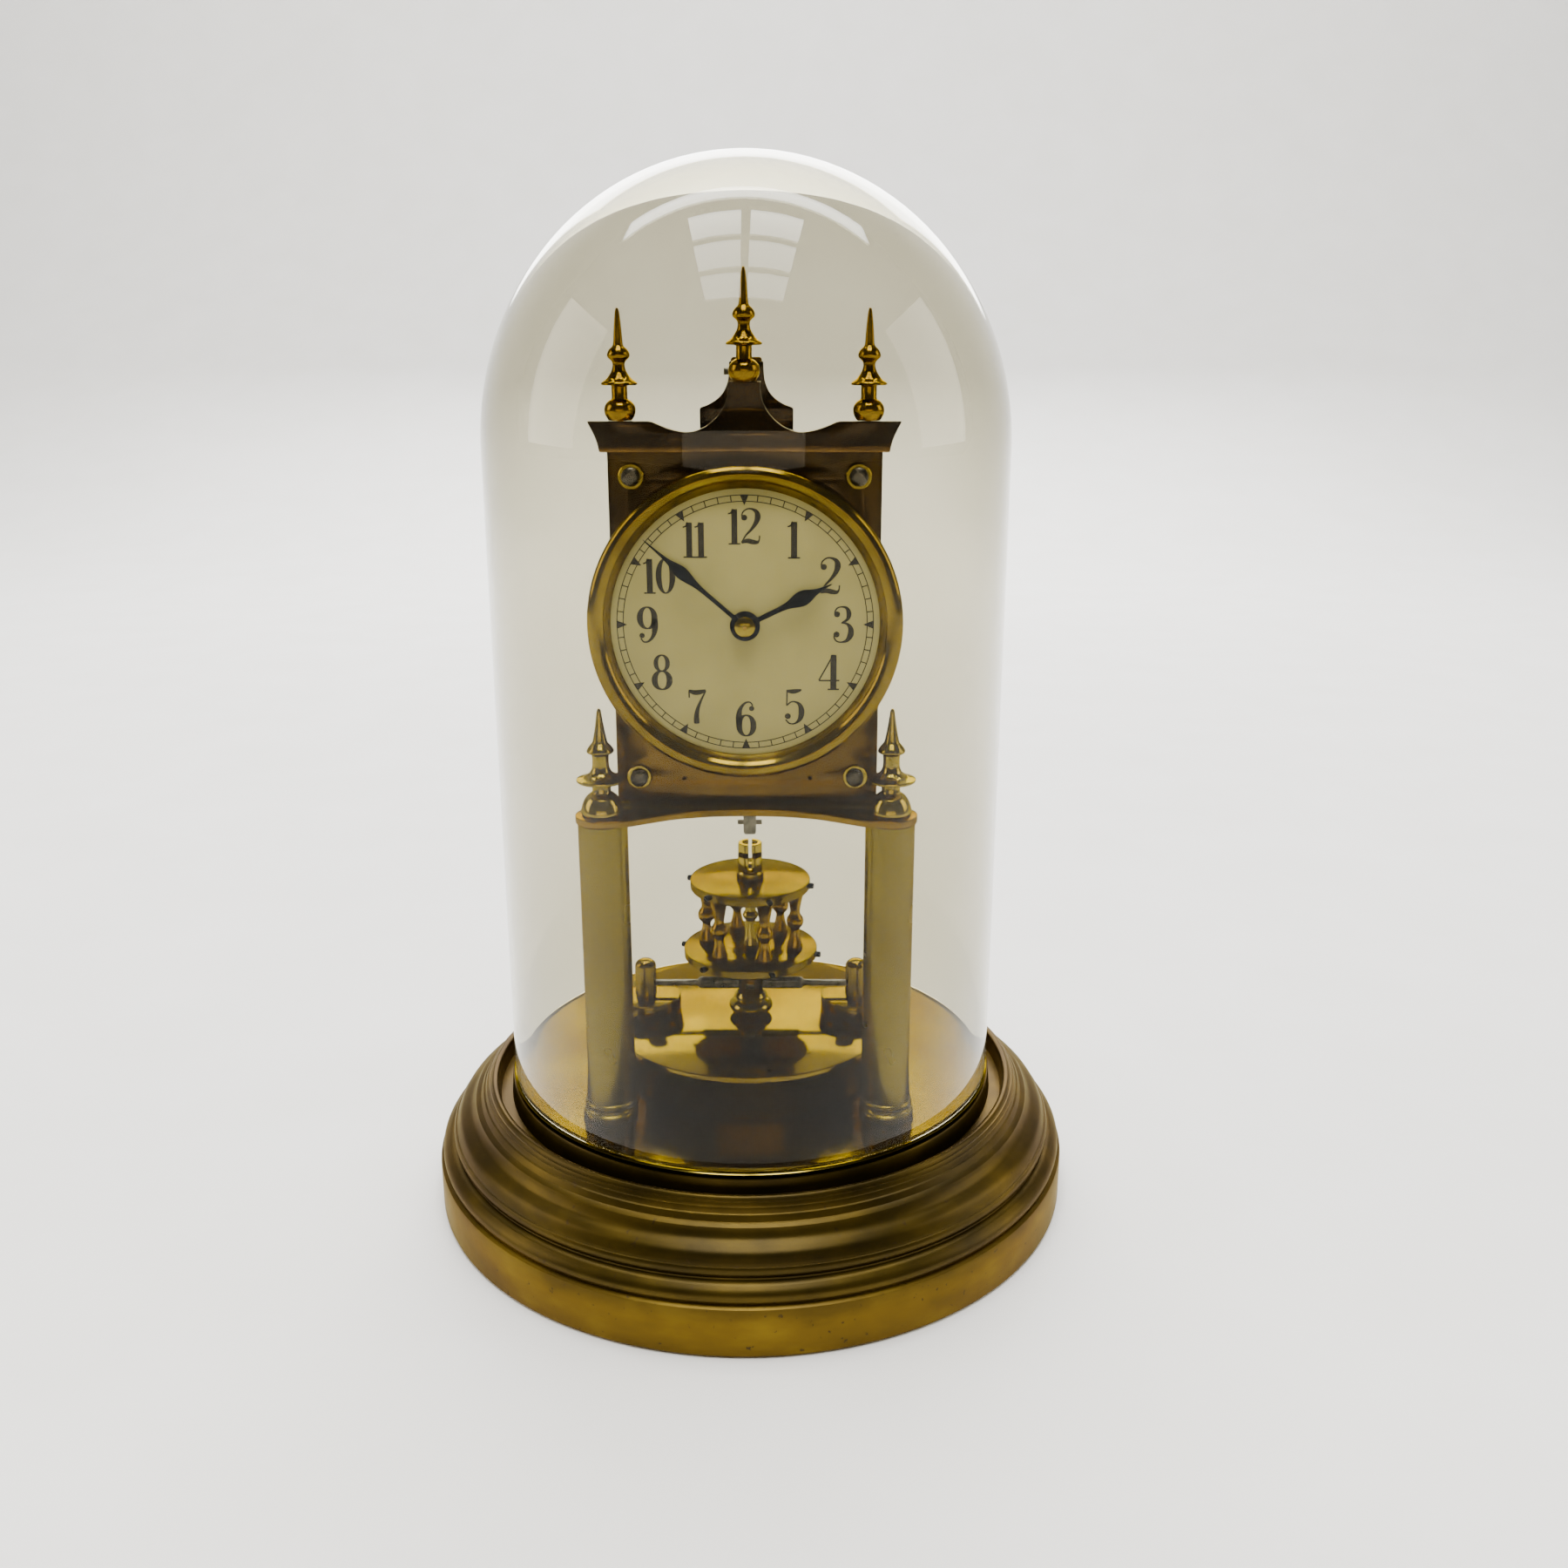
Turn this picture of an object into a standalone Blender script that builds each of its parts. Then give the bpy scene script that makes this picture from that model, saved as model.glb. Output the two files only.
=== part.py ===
"""Anniversary (400-day) clock under a glass dome, as separate clock parts.

Millimetres below, metres in the file.  Z is up, the dial looks along -Y, the
origin is on the floor under the middle of the base, and the pendulum hangs on
the Z axis behind the two-plate movement.
"""
from math import atan2, cos, hypot, pi, radians, sin, sqrt

import bmesh
import bpy
from mathutils import Matrix

MM = 0.001

# ---- overall sizes ------------------------------------------------------
MOVEMENT_W = 74.8          # width of both movement plates
PLATE_GAP = 18.2           # clear space between the movement plates
PLATE_T = 1.8              # thickness of a movement plate
COLUMN_H = 90.5            # base plate to platform
BASE_H = 41.9              # floor to the top of the base plate
SKIRT_H = 14.5             # plain skirt round the foot of the base
DOME_WALL = 2.3            # glass
SUSPENSION_REACH = 5.5     # back plate to the suspension spring

# ---- clearances ---------------------------------------------------------
SEAT = 0.2                 # between parts that stand on each other
FIT = 0.15                 # round a stud in its hole
RUN = 0.10                 # round a turning arbor
MESH_PLAY = 0.08           # added to every gear centre distance
COLUMN_TO_PENDULUM = 2.75  # air between the pendulum disc and a column foot

# ---- columns, platform, base plate --------------------------------------
COLUMN_R = 7.0
FOOT_R = 7.9
EAR_R = 7.6
PLATFORM_T = 2.1
COLUMN_X = MOVEMENT_W / 2 + 3.25
BACK_Y0 = -SUSPENSION_REACH            # rear face of the back plate
BACK_Y1 = BACK_Y0 - PLATE_T            # inner face of the back plate
FRONT_Y0 = BACK_Y1 - PLATE_GAP         # inner face of the front plate
FRONT_Y1 = FRONT_Y0 - PLATE_T          # dial side of the front plate
COLUMN_Y = FRONT_Y1 - 11.3
COLUMN_RING = hypot(COLUMN_X, COLUMN_Y)
PENDULUM_R = COLUMN_RING - FOOT_R - COLUMN_TO_PENDULUM
BRASS_R = COLUMN_RING + 20.2           # polished base plate
BRASS_T = 1.8
LEDGE_W = 3.1                          # rebate the glass stands in
LEDGE_DROP = 0.6
BASE_R = BRASS_R + 24.4
PLATFORM_Z0 = BASE_H + COLUMN_H
PLATFORM_Z1 = PLATFORM_Z0 + PLATFORM_T

# ---- movement -----------------------------------------------------------
BEZEL_R = MOVEMENT_W / 2 + 5.7
BEZEL_D = 13.0
DIAL_Z = PLATFORM_Z1 + BEZEL_R + 10.6
GALLERY_Z0 = DIAL_Z + BEZEL_R + 2.7
GALLERY_T = 2.9
PLATE_Z0 = PLATFORM_Z1 + SEAT
PLATE_Z1 = GALLERY_Z0 + 4.0
PILLAR_X = MOVEMENT_W / 2 - 6.4
PILLAR_ZS = (PLATFORM_Z1 + 7.7, GALLERY_Z0 - 6.6)
PILLAR_R = 3.2
SCREW_HEAD_R = 2.6
COLLAR_T = 0.9

# ---- pendulum -----------------------------------------------------------
DISC_Z0 = BASE_H + 0.4
DISC_T = 12.7
DISC_Z1 = DISC_Z0 + DISC_T
WEIGHT_R = 11.2
WEIGHT_X = PENDULUM_R - 11.6
WEIGHT_H = 6.4
POST_R = 3.4
POST_TOP = DISC_Z1 + 18.5
ROD_Z = DISC_Z1 + 10.2
ROD_R = 1.1
ROD_GRIP_R = 1.9
STEM_R = 4.35
CROWN_Z0 = DISC_Z1 + 20.4
CROWN_LOW_R = 21.2
CROWN_LOW_T = 2.8
BALUSTER_H = 20.0
CROWN_TOP_R = 18.9
CROWN_TOP_T = 3.0
BALUSTER_RING = 14.4
CROWN_TURN = radians(19.0)
CROWN_Z1 = CROWN_Z0 + CROWN_LOW_T
CROWN_Z2 = CROWN_Z1 + BALUSTER_H
CROWN_Z3 = CROWN_Z2 + CROWN_TOP_T
HOOK_TOP = CROWN_Z3 + 11.7

# ---- suspension ---------------------------------------------------------
HANG_PIN_Z = HOOK_TOP + 6.6
LOW_BLOCK_Z0 = HANG_PIN_Z - 3.7
LOW_BLOCK_Z1 = HANG_PIN_Z + 5.0
BRACKET_Z0 = GALLERY_Z0 - 1.0
TOP_BLOCK_Z0 = GALLERY_Z0 + 15.4
TOP_BLOCK_Z1 = TOP_BLOCK_Z0 + 7.2

# ---- glass --------------------------------------------------------------
DOME_R = BRASS_R - 0.4
DOME_SHOULDER = GALLERY_Z0 - 0.5
DOME_RISE = DOME_R * 1.049

# ---- going train: (x, z) from the dial centre ---------------------------
WHEELS = {
    "barrel": (48, 0.8),
    "first": (48, 0.6),
    "second": (45, 0.5667),
    "centre": (36, 0.54),
    "third": (32, 0.51),
}
PINIONS = {"first": 6, "second": 6, "centre": 6, "third": 8, "escape": 12}
MINUTE_WHEEL = (30, 0.6)
CANNON_LEAVES = 10
HOUR_WHEEL = (32, 0.6)
MINUTE_LEAVES = 8
ESCAPE_TEETH = 20
ESCAPE_R = 9.0


def mesh_distance(wheel, leaves):
    teeth, module = wheel
    return (teeth + leaves) * module / 2 + MESH_PLAY


def third_corner(a, b, from_a, from_b, side):
    """Point at the two given distances from a and b, on one side of a-b."""
    dx, dz = b[0] - a[0], b[1] - a[1]
    gap = hypot(dx, dz)
    along = (from_a ** 2 - from_b ** 2 + gap ** 2) / (2 * gap)
    off = sqrt(from_a ** 2 - along ** 2) * side
    ux, uz = dx / gap, dz / gap
    return (a[0] + along * ux + off * uz, a[1] + along * uz - off * ux)


CENTRE = (0.0, DIAL_Z)
ESCAPE = (0.0, DIAL_Z + 20.8)
ANCHOR = (0.0, DIAL_Z + 33.3)
THIRD = third_corner(CENTRE, ESCAPE, mesh_distance(WHEELS["centre"], PINIONS["third"]),
                     mesh_distance(WHEELS["third"], PINIONS["escape"]), 1)
SECOND_TURN = radians(-49.2)
SECOND_GAP = mesh_distance(WHEELS["second"], PINIONS["centre"])
SECOND = (SECOND_GAP * cos(SECOND_TURN), DIAL_Z + SECOND_GAP * sin(SECOND_TURN))
BARREL = (-10.0, DIAL_Z - 27.2)
FIRST = third_corner(BARREL, SECOND, mesh_distance(WHEELS["barrel"], PINIONS["first"]),
                     mesh_distance(WHEELS["first"], PINIONS["second"]), 1)
MINUTE_TURN = radians(-146.0)
MINUTE_GAP = mesh_distance(MINUTE_WHEEL, CANNON_LEAVES)
MINUTE = (MINUTE_GAP * cos(MINUTE_TURN), DIAL_Z + MINUTE_GAP * sin(MINUTE_TURN))

BRASS = (0.78, 0.57, 0.24, 1)
OLD_BRASS = (0.30, 0.25, 0.09, 1)
DARK_BRASS = (0.20, 0.13, 0.05, 1)
STEEL = (0.10, 0.10, 0.11, 1)
GLASS = (0.93, 0.95, 0.92, 1)
ENAMEL = (0.90, 0.87, 0.62, 1)

for old in list(bpy.data.objects):
    bpy.data.objects.remove(old, do_unlink=True)
CLOCK = bpy.data.collections.new("anniversary_clock")
CUTTERS = bpy.data.collections.new("cutters")
for group in (CLOCK, CUTTERS):
    bpy.context.scene.collection.children.link(group)


# ---- small builders -----------------------------------------------------
def material(name, colour):
    made = bpy.data.materials.new(name)
    made.use_nodes = True
    shader = made.node_tree.nodes["Principled BSDF"]
    shader.inputs["Base Color"].default_value = colour
    shader.inputs["Metallic"].default_value = 0.0 if colour in (GLASS, ENAMEL) else 1.0
    shader.inputs["Roughness"].default_value = 0.08 if colour == GLASS else 0.3
    if colour == GLASS:
        shader.inputs["Transmission Weight"].default_value = 1.0
    return made


def place(name, shape, colour):
    """Make a shape a part of the clock, with its own name and material."""
    shape.name = name
    shape.data.name = name
    shape.data.materials.append(material(name, colour))
    CLOCK.objects.link(shape)
    return shape


def boolean(part, operation, *tools):
    """Cut the tools out of a part, or weld them on."""
    for tool in tools:
        tool.name = part.name + "_" + operation.lower()
        CUTTERS.objects.link(tool)
        tool.hide_render = True
        tool.display_type = "WIRE"
        step = part.modifiers.new(operation.title(), "BOOLEAN")
        step.operation = operation
        step.solver = "EXACT"
        step.object = tool
    return part


def turned(profile, segments=32, closed=False):
    """Lathe work: a (radius, height) profile with a Screw modifier round Z."""
    ends = profile + profile[:1]
    doubled_area = sum(a[0] * b[1] - b[0] * a[1] for a, b in zip(ends, ends[1:]))
    points = [(r * MM, 0, h * MM) for r, h in (profile[::-1] if doubled_area > 0 else profile)]
    edges = [(k, k + 1) for k in range(len(points) - 1)]
    if closed:
        edges.append((len(points) - 1, 0))
    mesh = bpy.data.meshes.new("turned")
    mesh.from_pydata(points, edges, [])
    shape = bpy.data.objects.new("turned", mesh)
    spin = shape.modifiers.new("Lathe", "SCREW")
    spin.steps = segments
    spin.render_steps = segments
    spin.use_merge_vertices = True
    spin.merge_threshold = 0.00001
    spin.use_smooth_shade = True
    return shape


def moved(shape, x=0.0, y=0.0, z=0.0, facing="Z"):
    """Stand a shape on Z, or lay it along the dial axis (-Y) or along X."""
    shape.location = (x * MM, y * MM, z * MM)
    if facing == "-Y":
        shape.rotation_euler = (pi / 2, 0, 0)
    if facing == "X":
        shape.rotation_euler = (0, pi / 2, 0)
    return shape


def sheet(loops, low, high, plane="XZ", at=(0.0, 0.0)):
    """Flat stock: an outline with holes, filled between two depths, then meshed."""
    curve = bpy.data.curves.new("outline", "CURVE")
    curve.dimensions = "2D"
    curve.fill_mode = "BOTH"
    curve.extrude = (high - low) / 2 * MM
    for loop in loops:
        spline = curve.splines.new("POLY")
        spline.points.add(len(loop) - 1)
        spline.use_cyclic_u = True
        for point, (x, z) in zip(spline.points, loop):
            point.co = (x * MM, z * MM, 0, 1)
    outline = bpy.data.objects.new("outline", curve)
    CUTTERS.objects.link(outline)
    mesh = bpy.data.meshes.new_from_object(
        outline.evaluated_get(bpy.context.evaluated_depsgraph_get()))
    bpy.data.objects.remove(outline)
    welded = bmesh.new()
    welded.from_mesh(mesh)
    bmesh.ops.remove_doubles(welded, verts=welded.verts, dist=0.000001)
    bmesh.ops.recalc_face_normals(welded, faces=welded.faces)
    welded.to_mesh(mesh)
    welded.free()
    shape = bpy.data.objects.new("sheet", mesh)
    middle = (low + high) / 2
    if plane == "XZ":
        return moved(shape, at[0], middle, at[1], "-Y")
    return moved(shape, at[0], at[1], middle)


def primitive(build, **settings):
    shape = bmesh.new()
    build(shape, **settings)
    mesh = bpy.data.meshes.new("primitive")
    shape.to_mesh(mesh)
    shape.free()
    return bpy.data.objects.new("primitive", mesh)


def block(x0, x1, y0, y1, z0, z1):
    size = Matrix.Diagonal(((x1 - x0) * MM, (y1 - y0) * MM, (z1 - z0) * MM, 1))
    shape = primitive(bmesh.ops.create_cube, size=1.0, matrix=size)
    return moved(shape, (x0 + x1) / 2, (y0 + y1) / 2, (z0 + z1) / 2)


def bar(radius, length, segments=16):
    """Plain round bar on Z, centred on its middle."""
    return primitive(bmesh.ops.create_cone, cap_ends=True, segments=segments,
                     radius1=radius * MM, radius2=radius * MM, depth=length * MM)


def rod(radius, y0, y1, x, z, segments=16):
    """Round bar along the dial axis, from y0 (front) to y1 (back)."""
    return moved(bar(radius, y1 - y0, segments), x, (y0 + y1) / 2, z, "-Y")


def cross_rod(radius, x0, x1, y, z, segments=12):
    return moved(bar(radius, x1 - x0, segments), (x0 + x1) / 2, y, z, "X")


def upright(radius, z0, z1, x, y, segments=16):
    return moved(bar(radius, z1 - z0, segments), x, y, (z0 + z1) / 2)


def circle(x, z, radius, segments=16):
    return [(x + radius * cos(2 * pi * k / segments), z + radius * sin(2 * pi * k / segments))
            for k in range(segments)]


def gear_loop(teeth, module, phase):
    """Pointed wheel teeth or slim pinion leaves, one of them at the phase angle."""
    pitch = 2 * pi / teeth
    inner = teeth * module / 2 - 1.05 * module
    outer = teeth * module / 2 + 0.70 * module
    corners = ((inner, -0.5), (outer, 0.0))
    if teeth <= 12:
        outer = teeth * module / 2 + 0.50 * module
        corners = ((inner, -0.24), (outer, -0.08), (outer, 0.08), (inner, 0.24))
    loop = []
    for k in range(teeth):
        middle = phase + k * pitch
        for radius, turn in corners:
            angle = middle + turn * pitch
            loop.append((radius * cos(angle), radius * sin(angle)))
    return loop


def aim(a, b):
    return atan2(b[1] - a[1], b[0] - a[0])


# ---- base ---------------------------------------------------------------
def base_shell():
    """Spun moulded foot: skirt, two beads, a cove and the rim round the glass."""
    b, r = BASE_R, BRASS_R
    seat = BASE_H - BRASS_T - SEAT
    outside = [(r - 16.0, seat), (r + 0.3, seat), (r + 1.0, seat - 6.2), (r + 4.4, seat - 6.4),
               (r + 5.2, seat - 1.6), (r + 6.2, seat - 1.1), (r + 7.6, seat - 1.5),
               (r + 8.8, seat - 3.1), (r + 12.4, seat - 7.5), (r + 16.2, seat - 10.9),
               (r + 18.7, seat - 15.0), (r + 19.7, seat - 16.9), (r + 19.0, seat - 18.8),
               (r + 22.9, seat - 20.6), (r + 23.7, seat - 22.1), (b - 1.4, SKIRT_H + 1.1),
               (b, SKIRT_H), (b, 0.0)]
    inside = [(b - 2.2, 0.0), (b - 2.2, SKIRT_H - 0.8), (b - 7.0, seat - 19.2),
              (b - 12.4, seat - 10.8), (r + 7.4, seat - 5.6), (r + 5.4, seat - 8.4),
              (r - 0.2, seat - 8.2), (r - 2.0, seat - 2.4), (r - 16.0, seat - 2.4)]
    return place("base_shell", turned(outside + inside, 40, closed=True), OLD_BRASS)


def base_plate():
    """Polished brass disc with a rebate at the edge for the glass."""
    low, high = BASE_H - BRASS_T, BASE_H
    inner = BRASS_R - LEDGE_W
    disc = [(0, high), (inner, high), (inner, high - LEDGE_DROP), (BRASS_R, high - LEDGE_DROP),
            (BRASS_R, low), (0, low)]
    part = place("base_plate", turned(disc, 48), BRASS)
    holes = [upright(1.9 + FIT, low - 1, high + 1, side * COLUMN_X, COLUMN_Y) for side in (-1, 1)]
    return boolean(part, "DIFFERENCE", *holes)


def glass_dome():
    """Blown glass shade, open below, standing in the rebate."""
    foot = BASE_H - LEDGE_DROP + SEAT
    outside, inside = [], []
    for k in range(7):
        a = pi / 2 * k / 7
        outside.append((DOME_R * cos(a), DOME_SHOULDER + DOME_RISE * sin(a)))
        inside.append(((DOME_R - DOME_WALL) * cos(a),
                       DOME_SHOULDER + (DOME_RISE - DOME_WALL) * sin(a)))
    profile = [(0, DOME_SHOULDER + DOME_RISE)] + outside[::-1]
    profile += [(DOME_R, foot), (DOME_R - DOME_WALL, foot)] + inside
    profile += [(0, DOME_SHOULDER + DOME_RISE - DOME_WALL)]
    return place("glass_dome", turned(profile, 40), GLASS)


# ---- columns and platform ------------------------------------------------
def column(side):
    """Turned column: ringed foot, plain shaft, tapped top, stud below."""
    foot = BASE_H + SEAT
    top = PLATFORM_Z0 - SEAT
    bore = 1.4 + FIT
    profile = [(0, top - 8), (bore, top - 8), (bore, top), (COLUMN_R, top),
               (COLUMN_R, foot + 4.6), (FOOT_R - 0.4, foot + 3.9), (COLUMN_R + 0.1, foot + 2.6),
               (FOOT_R, foot + 1.6), (FOOT_R, foot),
               (1.9, foot), (1.9, BASE_H - 6.0), (0, BASE_H - 6.0)]
    name = "column_left" if side < 0 else "column_right"
    return place(name, moved(turned(profile, 20), side * COLUMN_X, COLUMN_Y), BRASS)


def column_finial(side):
    """Turned finial screwed through the platform into the column."""
    z = PLATFORM_Z1 + SEAT
    profile = [(0, z + 30.4), (0.8, z + 27.6), (1.25, z + 25.0), (2.0, z + 21.0),
               (3.8, z + 18.1), (2.3, z + 15.6), (2.5, z + 12.8), (6.85, z + 10.2),
               (6.85, z + 9.4), (2.6, z + 9.2), (2.6, z + 6.2), (5.2, z + 4.2), (6.0, z),
               (1.4, z), (1.4, PLATFORM_Z0 - 7.0), (0, PLATFORM_Z0 - 7.0)]
    name = "column_finial_left" if side < 0 else "column_finial_right"
    return place(name, moved(turned(profile, 12), side * COLUMN_X, COLUMN_Y), BRASS)


def platform():
    """Seat plate across the columns, hollowed in front between two round ears."""
    cx, cy, half = COLUMN_X, COLUMN_Y, MOVEMENT_W / 2
    rear = BACK_Y0 + 1.3
    right = [(0, cy + 4.0), (9.5, cy + 3.3), (19.0, cy + 1.1), (24.0, cy - 1.2),
             (cx - 12.2, cy - 3.7), (cx - 8.6, cy - 5.7), (cx - 5.1, cy - 6.9)]
    ear = [(cx + EAR_R * cos(a), cy + EAR_R * sin(a))
           for a in [radians(d) for d in range(-90, 101, 19)]]
    edge = right + ear + [(half, cy + 9.6), (half, rear)]
    outline = edge + [(-x, y) for x, y in reversed(edge[1:])]
    holes = [circle(side * cx, cy, 1.4 + FIT) for side in (-1, 1)]
    shape = sheet([outline] + holes, PLATFORM_Z0, PLATFORM_Z1, "XY")
    return place("platform", shape, BRASS)


# ---- movement frame ------------------------------------------------------
def plate_outline():
    half = MOVEMENT_W / 2
    return [(-half, PLATE_Z0), (half, PLATE_Z0), (half, PLATE_Z1), (-half, PLATE_Z1)]


def dial_feet():
    return [(30 * cos(radians(d)), DIAL_Z + 30 * sin(radians(d))) for d in (90, 210, 330)]


def front_plate():
    """Front plate: pillar screws, pivots, dial feet and the minute wheel stud."""
    holes = [circle(s * PILLAR_X, z, 1.1 + FIT, 8) for s in (-1, 1) for z in PILLAR_ZS]
    holes += [circle(p[0], p[1], 0.55 + RUN, 12) for p in (FIRST, SECOND, THIRD, ESCAPE, ANCHOR)]
    holes += [circle(*CENTRE, 0.75 + RUN, 16), circle(*BARREL, 1.2 + RUN, 16)]
    holes += [circle(x, z, 0.8 + FIT, 8) for x, z in dial_feet()]
    holes += [circle(s * 18.2, PLATFORM_Z1 + 7.1, 0.55, 6) for s in (-1, 1)]
    part = place("front_plate", sheet([plate_outline()] + holes, FRONT_Y1, FRONT_Y0), DARK_BRASS)
    return boolean(part, "UNION", rod(0.65, FRONT_Y1 - 6.4, FRONT_Y1 + 0.5, *MINUTE, 12))


CLICK = (BARREL[0] - 9.6, BARREL[1] + 5.6)


def back_plate():
    """Back plate: riveted pillars, rear pivots and the click stud."""
    holes = [circle(s * PILLAR_X, z, 1.4 + FIT, 8) for s in (-1, 1) for z in PILLAR_ZS]
    holes += [circle(p[0], p[1], 0.55 + RUN, 12) for p in (FIRST, SECOND, CENTRE, THIRD, ESCAPE)]
    holes += [circle(*ANCHOR, 1.1, 12), circle(*BARREL, 1.7 + RUN, 16)]
    part = place("back_plate", sheet([plate_outline()] + holes, BACK_Y1, BACK_Y0), BRASS)
    return boolean(part, "UNION", rod(0.9, BACK_Y0 - 0.5, BACK_Y0 + 1.9, *CLICK, 12))


def pillar(side, row):
    """Turned pillar, riveted behind and tapped in front for its screw."""
    bore, tenon = 1.1 + FIT, 1.4
    gap = PLATE_GAP - 2 * SEAT
    middle = gap / 2
    profile = [(0, gap - 7.9), (bore, gap - 7.9), (bore, gap), (PILLAR_R, gap),
               (PILLAR_R - 0.7, gap - 2.0), (PILLAR_R - 0.7, middle + 1.6), (PILLAR_R, middle),
               (PILLAR_R - 0.7, middle - 1.6), (PILLAR_R - 0.7, 2.0), (PILLAR_R, 0), (tenon, 0),
               (tenon, -PLATE_T - SEAT - 0.3), (0, -PLATE_T - SEAT - 0.3)]
    name = "pillar_" + ("lower", "upper")[row] + ("_left" if side < 0 else "_right")
    shape = moved(turned(profile, 12), side * PILLAR_X, BACK_Y1 - SEAT, PILLAR_ZS[row], "-Y")
    return place(name, shape, BRASS)


def plate_screw(side, row):
    """Slotted screw, in one solid with the wide collar under its head."""
    back = FRONT_Y1 - COLLAR_T - 2 * SEAT
    collar_r, under = SCREW_HEAD_R + 0.9, -COLLAR_T - SEAT
    profile = [(0, 1.7), (SCREW_HEAD_R - 0.5, 1.7), (SCREW_HEAD_R, 1.3), (SCREW_HEAD_R, 0),
               (collar_r, 0), (collar_r, under), (1.1, under), (1.1, -7.6), (0, -7.6)]
    x, z = side * PILLAR_X, PILLAR_ZS[row]
    name = "plate_screw_" + ("lower", "upper")[row] + ("_left" if side < 0 else "_right")
    part = place(name, moved(turned(profile, 12), x, back, z, "-Y"), STEEL)
    slot = moved(block(-4, 4, -1, 1, -0.35, 0.35), x, back - 1.9, z)
    slot.rotation_euler = (0, radians(35 + 50 * row + 20 * side), 0)
    return boolean(part, "DIFFERENCE", slot)


GALLERY_Y0 = FRONT_Y1 - SEAT - GALLERY_T
GALLERY_Y = GALLERY_Y0 + GALLERY_T / 2
GALLERY_HALF = MOVEMENT_W / 2 + 4.7
FLAT_Z = GALLERY_Z0 + 8.1
PEAK_Z = GALLERY_Z0 + 18.4
FINIAL_X = MOVEMENT_W / 2 - 4.1


def gallery():
    """Pierced-top cornice: flats for the side finials, swept peak in the middle."""
    z, w = GALLERY_Z0, GALLERY_HALF
    right = [(w - 2.9, z), (w - 2.6, z + 1.6), (w - 2.0, z + 3.6), (w - 1.1, z + 5.8),
             (w - 0.1, z + 7.6), (w, FLAT_Z), (25.2, FLAT_Z), (22.6, z + 7.1), (19.8, z + 6.0),
             (17.0, z + 5.4), (14.8, z + 5.3), (12.6, z + 5.8), (10.2, z + 6.9), (7.9, z + 8.7),
             (6.6, z + 10.2), (5.5, z + 11.9), (4.8, z + 13.6), (4.3, z + 15.7),
             (4.2, z + 17.5), (4.6, PEAK_Z)]
    outline = right + [(-x, h) for x, h in reversed(right)]
    part = place("gallery", sheet([outline], GALLERY_Y0, GALLERY_Y0 + GALLERY_T), DARK_BRASS)
    studs = [upright(0.7 + FIT, top - 5.0, top + 2.0, x, GALLERY_Y, 12)
             for x, top in ((-FINIAL_X, FLAT_Z), (0, PEAK_Z), (FINIAL_X, FLAT_Z))]
    return boolean(part, "DIFFERENCE", *studs)


def gallery_finial(name, x, top):
    """Turned finial: ball, neck, skirt, collar and spike, on a fine stud."""
    z = top + SEAT
    profile = [(0, z + 28.8), (1.0, z + 23.0), (1.4, z + 18.9), (3.05, z + 16.9),
               (1.7, z + 14.4), (2.6, z + 11.9), (4.85, z + 9.7), (4.85, z + 9.2),
               (2.15, z + 9.0), (2.15, z + 5.4), (3.9, z + 4.2), (4.2, z + 2.8),
               (3.3, z), (0.7, z), (0.7, z - 4.4), (0, z - 4.4)]
    return place(name, moved(turned(profile, 12), x, GALLERY_Y), BRASS)


# ---- dial and hands ------------------------------------------------------
DIAL_R = BEZEL_R - 4.6
DIAL_FACE = 9.0                        # enamel face in front of the plate
DIAL_T = 1.0


def bezel():
    """Deep spun ring: cylindrical side, rolled front, lip over the enamel."""
    r, d = BEZEL_R, BEZEL_D
    profile = [(r - 1.2, SEAT), (r, SEAT), (r, d - 2.2), (r - 1.4, d - 0.6), (r - 2.4, d),
               (r - 4.2, d - 0.8), (r - 6.3, DIAL_FACE + SEAT), (DIAL_R + FIT, DIAL_FACE + SEAT),
               (DIAL_R + FIT, DIAL_FACE - 1.6), (r - 1.2, DIAL_FACE - 2.0)]
    shape = moved(turned(profile, 40, closed=True), 0, FRONT_Y1, DIAL_Z, "-Y")
    return place("bezel", shape, BRASS)


def dial():
    """Enamelled copper dial on three copper feet."""
    face, back = DIAL_FACE, DIAL_FACE - DIAL_T
    profile = [(2.8, face), (DIAL_R, face), (DIAL_R, back), (2.8, back)]
    shape = moved(turned(profile, 40, closed=True), 0, FRONT_Y1, DIAL_Z, "-Y")
    part = place("dial", shape, ENAMEL)
    feet = [rod(0.8, FRONT_Y1 - back - 0.3, FRONT_Y1 + 1.4, x, z, 8) for x, z in dial_feet()]
    return boolean(part, "UNION", *feet)


def hand(name, shape_points, turn, bore, hub, y0, y1):
    """Pierced steel hand: round hub, slim neck, pear swell, fine tip."""
    left = []
    start = atan2(shape_points[0][1], shape_points[0][0])
    steps = 14
    for k in range(steps + 1):
        a = start + (2 * pi - 2 * start) * k / steps
        left.append((hub * cos(a), hub * sin(a)))
    side = [(x, w) for x, w in shape_points[1:]]
    outline = left + [(x, -w) for x, w in side] + [(x, w) for x, w in reversed(side[:-1])]
    outline = [(x * cos(turn) - w * sin(turn), x * sin(turn) + w * cos(turn)) for x, w in outline]
    return place(name, sheet([outline, circle(0, 0, bore)], y0, y1, at=CENTRE), STEEL)


HOUR_Y = FRONT_Y1 - DIAL_FACE - 2.2
MINUTE_Y = HOUR_Y - 1.1
CANNON_TIP = MINUTE_Y - 0.5
HOUR_TURN = radians(90 - 64.0)
MINUTE_HAND_TURN = radians(90 + 49.0)


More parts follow.
